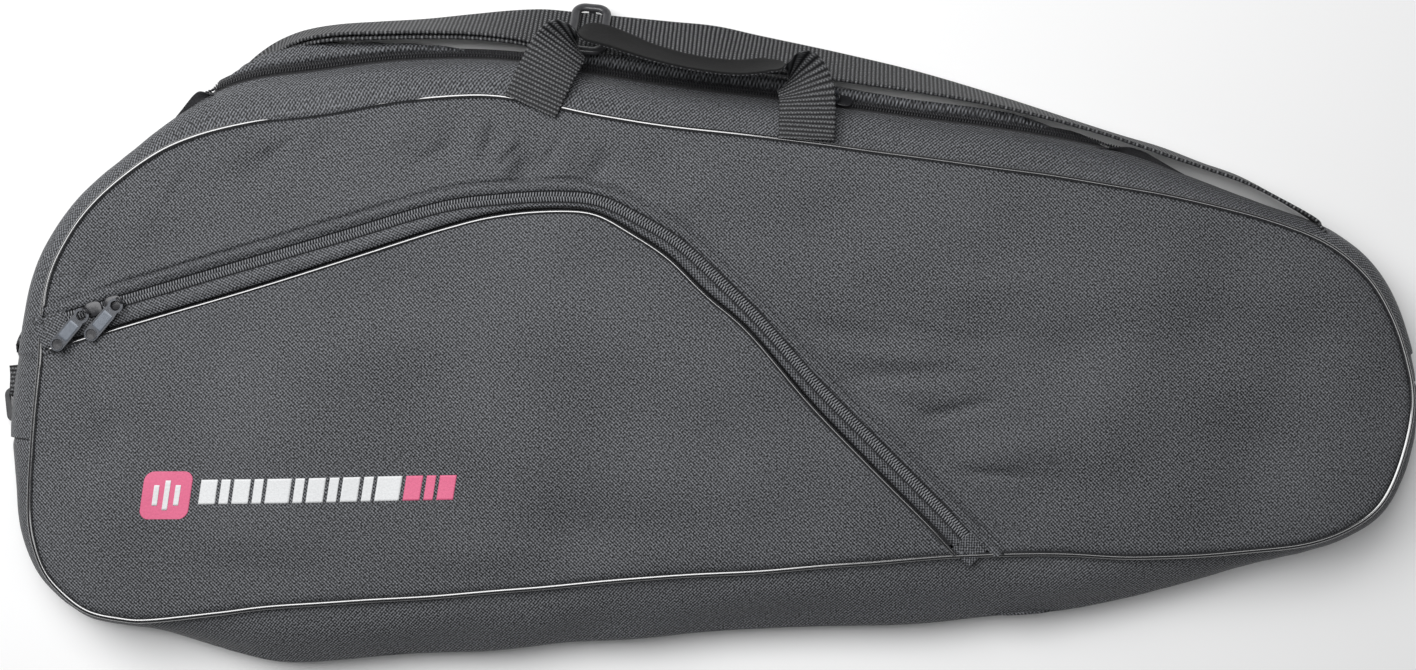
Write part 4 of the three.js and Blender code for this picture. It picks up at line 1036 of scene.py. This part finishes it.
def pull_face(name, pivot, out, across, up, body):
    """The enamelled face: a low pillow on the pull, a ring round the dimple, and the dimple's floor in
    the darker slider paint as painted shade in the recess.
    """
    s, q = np.meshgrid(np.linspace(-1, 1, 26), np.linspace(-1, 1, 18), indexing="ij")
    edge = np.clip(1 - np.maximum(np.abs(s), np.abs(q)), 0, 1)
    rise = PULL["thick"] / 2 - 0.12 + (PULL["face_lift"] + 0.12) * (1 - (1 - edge) ** 24)
    middle = (PULL["face_from"] + PULL["face_to"]) / 2
    half = (PULL["face_to"] - PULL["face_from"]) / 2
    round_corner = 1 - 0.06 * (np.abs(s) ** 6) * (np.abs(q) ** 6)
    grid = pivot + (middle + half * s * round_corner)[..., None] * out + (
        PULL["face_half"] * q * round_corner)[..., None] * across + rise[..., None] * up
    face = surface(name, grid, np.dstack([s, q]), [enamel], flip=True)

    turn = np.linspace(0, 2 * np.pi, 40)
    small = np.linspace(0, 2 * np.pi, 10, endpoint=False)

    def round_dimple(radii, height):
        x = PULL["dimple_at"] + radii * np.cos(turn)[:, None]
        y = radii * np.sin(turn)[:, None]
        return pivot + x[..., None] * out + y[..., None] * across + (height + 0 * x)[..., None] * up

    top = PULL["thick"] / 2
    ring = round_dimple(PULL["dimple_r"] + 0.32 * np.cos(small), top + 0.26 * np.sin(small))
    rim = surface(f"{name}_rim", ring, np.zeros((40, 10, 2)), [pull_paint], wrap=True, flip=True)
    close_ring(rim)
    # The dimple's floor is darker than the pull round it: painted shade in the recess.
    radii = np.linspace(0.05, PULL["dimple_r"] - 0.25, 6)
    disc = round_dimple(radii, top - 0.42 + 0.03 * radii)
    dimple = surface(f"{name}_dimple", disc, np.zeros((40, 6, 2)), [black_paint])
    for piece in (face, rim, dimple):
        fitted(piece, body)


SLIDERS = [  # name, slide joint, the slider's body, bridge off the cap's middle
    ("pocket_leading", "pocket_leading_slide", "pocket_leading", 4.4),
    ("pocket_trailing", "pocket_trailing_slide", "pocket_trailing", -3.4),
    ("main", "main_zip_slide", "main_zip_slider", -2.5),
]
CAP_TOP = CAP["lift"] + CAP["thick"]
PIVOT_HEIGHT = CAP_TOP + 1.2 + PULL["thick"] / 2
for label, slide, slider_body, offset in SLIDERS:
    hinge = joints[f"{label}_pull_hinge"]
    travel, pin = unit(np.array(joints[slide]["axis"])), unit(np.array(hinge["axis"]))
    up = unit(np.cross(pin, travel))
    up = up * np.sign(up[2])
    across, out = np.cross(up, travel), np.cross(up, pin)
    pivot = np.array(hinge["pos_m"]) / MM
    cap_centre = pivot - up * PIVOT_HEIGHT - travel * offset
    foot = cap_centre + travel * offset + up * (CAP_TOP - BRIDGE["sunk"])
    domed_cap(f"{label}_slider_cap", cap_centre, travel, across, up, slider_body, f"{label}_slider")
    bridge(f"{label}_slider_bridge", foot, pin, out, up, slider_body)
    pull_body = f"{label}_pull"
    copy_of(f"{label}_pull_tab", f"{label}_pull_tab_body", pull_paint, pull_body, 0.28)
    pull_face(f"{label}_pull_tab_face", pivot, out, pin, up, pull_body)


# ---- Webbing --------------------------------------------------------------------------------
# Black 30 mm polypropylene webbing with ribs across it: the carrying handle, whose inner face
# is plain, and the shoulder strap, which runs double from its adjuster to the ring.

WEB_W = 30
WEB_T = 1.8
RIB = 2.3
DOT = 1.7


def ribbed_webbing(name, dark, light):
    """Webbing on its own UV: ribs across it as a sine along it, broken into dots that shift by
    half from rib to rib, each dot's brightness a little different."""
    material, tree, shader = new_material(name, 0.6, Specular_IOR_Level=0.25)
    place = add_node(tree, "ShaderNodeTexCoord").outputs["UV"]
    parts = add_node(tree, "ShaderNodeSeparateXYZ", Vector=place)
    along, across = parts.outputs[0], parts.outputs[1]
    wobble = maths(tree, "MULTIPLY", noise(tree, place, 180.0), 1.4)
    rib = maths(tree, "SINE", maths(tree, "MULTIPLY_ADD", along, 2 * math.pi / (RIB * MM), wobble))
    row = maths(tree, "FLOOR", maths(tree, "MULTIPLY", along, 1 / (RIB * MM)))
    dot_phase = maths(tree, "MULTIPLY_ADD", across, 2 * math.pi / (DOT * MM),
                      maths(tree, "MULTIPLY", row, math.pi))
    dot = maths(tree, "SINE", maths(tree, "ADD", dot_phase, wobble))
    ridge = maths(tree, "MULTIPLY_ADD", rib, 0.5, 0.5)
    height = maths(tree, "MULTIPLY", ridge, maths(tree, "MULTIPLY_ADD", dot, 0.34, 0.66))
    speckle = noise(tree, place, 900.0, 1.0)
    share = maths(tree, "MULTIPLY", maths(tree, "POWER", height, 1.3),
                  maths(tree, "MULTIPLY_ADD", speckle, 2.4, -0.1))
    tree.links.new(colour_between(tree, share, dark, light), shader.inputs["Base Color"])
    bump(tree, shader, height, 0.45 * MM)
    return material


webbing = ribbed_webbing("webbing_ribbed", (0.006, 0.006, 0.007), (0.2, 0.203, 0.21))


def plain_backing():
    """The webbing's plain inner face: flat black yarn, mottled where it is rubbed, painted darker for
    the shade the handle's under face lies in.
    """
    material, tree, shader = new_material("webbing_plain_face", 0.7, Specular_IOR_Level=0.12)
    place = add_node(tree, "ShaderNodeTexCoord").outputs["UV"]
    rubbed = noise(tree, place, 90.0, 4.0, 0.65)
    yarn = noise(tree, place, 900.0, 1.0)
    tone = maths(tree, "MULTIPLY", rubbed, yarn)
    tree.links.new(colour_between(tree, tone, (0.001, 0.001, 0.001), (0.022, 0.022, 0.023)),
                   shader.inputs["Base Color"])
    bump(tree, shader, tone, 0.3 * MM)
    return material


backing = plain_backing()


def web(name, node, centre, across, width, body, faces, cup=0.0):
    """Webbing along a line: a flat section with round edges, slightly cupped, whose upper face
    is on the side of across x travel."""
    travel = unit(np.gradient(centre, axis=0))
    across = unit(across - travel * (across * travel).sum(-1, keepdims=True))
    normal = np.cross(across, travel)
    half = WEB_T / 2
    edge = np.linspace(np.pi / 2, -np.pi / 2, 7)[1:-1]
    flat = np.linspace(-1, 1, 15)
    side = np.concatenate([flat, 1 + 0 * edge, flat[::-1], -1 + 0 * edge])
    swell = np.concatenate([0 * flat, np.cos(edge), 0 * flat, -np.cos(edge)])
    rise = np.concatenate([1 + 0 * flat, np.sin(edge), -1 + 0 * flat, -np.sin(edge)])
    q = side[None] * (width[:, None] / 2 - half) + swell[None] * half
    h = rise[None] * half + cup * (1 - side[None] ** 2)
    grid = centre[:, None] + across[:, None] * q[..., None] + normal[:, None] * h[..., None]
    run = np.concatenate([[0], np.cumsum(np.linalg.norm(np.diff(centre, axis=0), axis=1))])
    uv = np.dstack([run[:, None] + 0 * q, q])
    columns = len(side)
    under = (np.arange(columns) >= len(flat) + 2) & (np.arange(columns) < 2 * len(flat) + 7)

    def pick(count):
        index = np.tile(under, len(centre) - 1).astype(np.int32)
        return np.concatenate([index, np.zeros(count - len(index), np.int32)])

    piece = surface(name, grid, uv, faces, wrap=True, caps=True, flip=True,
                    finish=pick if len(faces) > 1 else None)
    fitted(piece, body, node)


HANDLE = np.array([  # middle of the webbing, and the direction across it
    (-103.6, 133.8, 45.9, 0.93, -0.37, 0), (-97, 148, 46.5, 0.95, -0.28, -0.05),
    (-89, 163, 46, 0.97, -0.1, -0.2), (-80.5, 172.5, 46, 0.75, 0.2, -0.62),
    (-66, 172, 46, 0.3, 0.4, -0.87), (-40, 163, 45.5, 0.1, 0.38, -0.92),
    (-18.7, 157.5, 45, 0, 0.37, -0.93), (5, 154.5, 45, -0.1, 0.37, -0.93),
    (24.3, 155.5, 45.5, -0.4, 0.3, -0.86), (37, 153.5, 46, -0.85, 0.1, -0.5),
    (43, 143, 46.5, -0.99, 0, -0.1), (44, 130, 46.2, -0.99, 0.1, 0),
    (43.4, 116.2, 45.9, -0.99, 0.15, 0),
], float)
handle_course = spline(HANDLE, np.linspace(0, len(HANDLE) - 1, 300))
# The handle's under faces take the plain backing, whose near-black colour is partly painted shade.
web("carry_handle_webbing", "carry_handle", handle_course[:, :3], handle_course[:, 3:],
    np.full(len(handle_course), float(WEB_W)), "handle", [webbing, backing], 0.5)

STRAP = np.array([  # outer edge x, y and height, width covered in plan, width of the webbing
    (339, 52.5, 2.7, 5, 24), (331, 64, 2.7, 5, 27), (325, 72.5, 2.7, 5, 29),
    (318, 79, 2.7, 5, 30), (286, 97, 2.7, 6, 30), (263, 105.5, 2.7, 6, 30), (241, 114, 2.7, 7, 30),
    (219, 120.5, 2.7, 6, 30), (197, 127.5, 2.7, 6, 30), (153, 142, 2.7, 9, 30),
    (108, 155.5, 4, 14, 30), (64, 166, 6, 18, 30), (20, 175.5, 7.5, 22, 30), (-5, 181, 8, 23.5, 30),
    (-30, 183.5, 8, 23.5, 30), (-55, 186, 8, 23.5, 30), (-80, 188.5, 8, 23.5, 30),
    (-100, 190.2, 7.5, 22, 30), (-118, 189.5, 6, 18, 30), (-140, 187.5, 4, 14, 30),
    (-165, 185, 2.7, 11, 30), (-190, 183.5, 2.7, 10, 30), (-212, 182, 2.7, 9, 28),
    (-230, 179, 2.7, 8, 22), (-244, 174, 2.7, 8, 16.5), (-255, 167.5, 2.7, 9, 14),
    (-264, 160, 2.7, 11, 14), (-272, 151, 2.7, 14, 14.5), (-284, 138, 2.7, 16, 16),
    (-298, 125, 2.7, 18, 18), (-318, 109, 2.7, 19, 19), (-338, 90, 2.7, 20, 20),
    (-355, 68, 2.7, 20, 20), (-367.5, 45, 2.7, 21, 21), (-376, 32, 2.7, 21, 21),
    (-383.5, 22, 2.7, 22, 22), (-387.5, 16, 2.7, 22.5, 22.5), (-390.5, 10.5, 2.7, 24, 24),
    (-391.5, 7.5, 2.7, 25, 25),
], float)
LAYER = (WEB_T + 1.1) / 2  # from between the two layers to the middle of one
ADJUSTER_X = -73.5
strap_course = spline(STRAP, np.linspace(0, len(STRAP) - 1, 640))
strap_edge, strap_plan, strap_width = strap_course[:, :3], strap_course[:, 3], strap_course[:, 4]
strap_travel = unit(np.gradient(strap_edge, axis=0) * (1, 1, 0))
strap_inward = np.column_stack([-strap_travel[:, 1], strap_travel[:, 0]])
strap_rise = np.sqrt(np.maximum(strap_width**2 - strap_plan**2, 0))
strap_across = unit(np.column_stack([strap_inward * strap_plan[:, None], strap_rise]))
strap_normal = unit(np.cross(strap_travel, strap_across))
strap_middle = strap_edge + strap_across * (strap_width / 2)[:, None]
web("shoulder_strap_webbing", "shoulder_strap", strap_middle + strap_normal * LAYER,
    strap_across, strap_width, "bag", [webbing])
back_from = int(np.argmax(strap_middle[:, 0] < ADJUSTER_X - 4))
web("shoulder_strap_return_webbing", "shoulder_strap_return",
    (strap_middle - strap_normal * LAYER)[back_from:], strap_across[back_from:],
    strap_width[back_from:], "bag", [webbing])


# ---- Plastic fittings --------------------------------------------------------------------------
# The strap's slide adjuster and its ring are moulded in black acetal, with rounded edges. The
# strap folds round one side of the ring, and a short tab holds the ring to the bag.

acetal = worn_finish("black_acetal", 0.3, 320.0, (0.02, 0.02, 0.022), (0.075, 0.075, 0.08), 0.08,
                     detail=(5.0, 0.7), gloss=(0.35, 0.16), Coat_Weight=0.2)
GLIDE = {"half_length": 8.6, "half_width": 16.7, "corner": 5.5, "wide": 2.35, "thick": 1.75,
         "lift": 4.45, "bar_lift": -0.95, "bar_wide": 2.0, "bar_thick": 1.05,
         "bar_half": 17.4}


def moulded_bar(name, line, flat, upright, wide, thick, closed):
    """A bar moulded along a line: a superellipse, wide along one direction and thick along
    the other, of exponent 2.6."""
    turn = np.linspace(0, 2 * np.pi, 20, endpoint=False)
    c, d = np.cos(turn), np.sin(turn)
    ring_x = wide * np.sign(c) * np.abs(c) ** 0.77
    ring_y = thick * np.sign(d) * np.abs(d) ** 0.77
    grid = (line[:, None] + ring_x[None, :, None] * flat[:, None]
            + ring_y[None, :, None] * upright[:, None])
    if closed:
        grid = np.concatenate([grid, grid[:1]])
    uv = np.zeros((*grid.shape[:2], 2))
    piece = surface(name, grid, uv, [acetal], wrap=True, caps=not closed)
    if closed:
        close_ring(piece)
    fitted(piece, "strap_adjuster", "tri_glide")


glide_row = int(np.argmin(np.abs(strap_middle[:, 0] - ADJUSTER_X)))
glide_middle, glide_ahead = strap_middle[glide_row], strap_travel[glide_row]
glide_up = strap_normal[glide_row]
glide_across = np.cross(glide_up, glide_ahead)
turn = np.linspace(0, 2 * np.pi, 96, endpoint=False)
corner_x = (GLIDE["half_length"] - GLIDE["corner"]) * np.sign(np.cos(turn))
corner_y = (GLIDE["half_width"] - GLIDE["corner"]) * np.sign(np.sin(turn))
loop_x = corner_x + GLIDE["corner"] * np.cos(turn)
loop_y = corner_y + GLIDE["corner"] * np.sin(turn)
loop = (glide_middle + loop_x[:, None] * glide_ahead + loop_y[:, None] * glide_across
        + GLIDE["lift"] * glide_up)
outwards = np.cos(turn)[:, None] * glide_ahead + np.sin(turn)[:, None] * glide_across
moulded_bar("tri_glide_frame", loop, outwards, np.tile(glide_up, (len(turn), 1)), GLIDE["wide"],
            GLIDE["thick"], True)
span = np.linspace(-1, 1, 41)
dip = GLIDE["lift"] - (GLIDE["lift"] - GLIDE["bar_lift"]) * (1 - np.abs(span) ** 24)
bar_line = (glide_middle + (GLIDE["bar_half"] * span)[:, None] * glide_across
            + dip[:, None] * glide_up)
bar_upright = unit(np.cross(glide_ahead, unit(np.gradient(bar_line, axis=0))))
moulded_bar("tri_glide_bar", bar_line, np.tile(glide_ahead, (len(span), 1)), bar_upright,
            GLIDE["bar_wide"], GLIDE["bar_thick"], False)
copy_of("strap_ring", "strap_ring_moulding", acetal, "bag", 0.8)


def web_loop(node, name):
    """A folded bit of webbing on the ring: the frame's shape, its UV running along the bag's
    width for the ribs."""
    piece = copy_of(node, name, webbing, "bag", 0.5)
    mesh = piece.data
    corners = np.empty(len(mesh.loops), np.int32)
    mesh.loops.foreach_get("vertex_index", corners)
    points = np.empty(3 * len(mesh.vertices))
    mesh.vertices.foreach_get("co", points)
    layer = mesh.uv_layers.active or mesh.uv_layers.new(name="thread")
    layer.data.foreach_set("uv", points.reshape(-1, 3)[corners][:, [1, 0]].ravel())


web_loop("shoulder_strap_turn", "shoulder_strap_turn_webbing")
web_loop("ring_tab", "ring_tab_webbing")
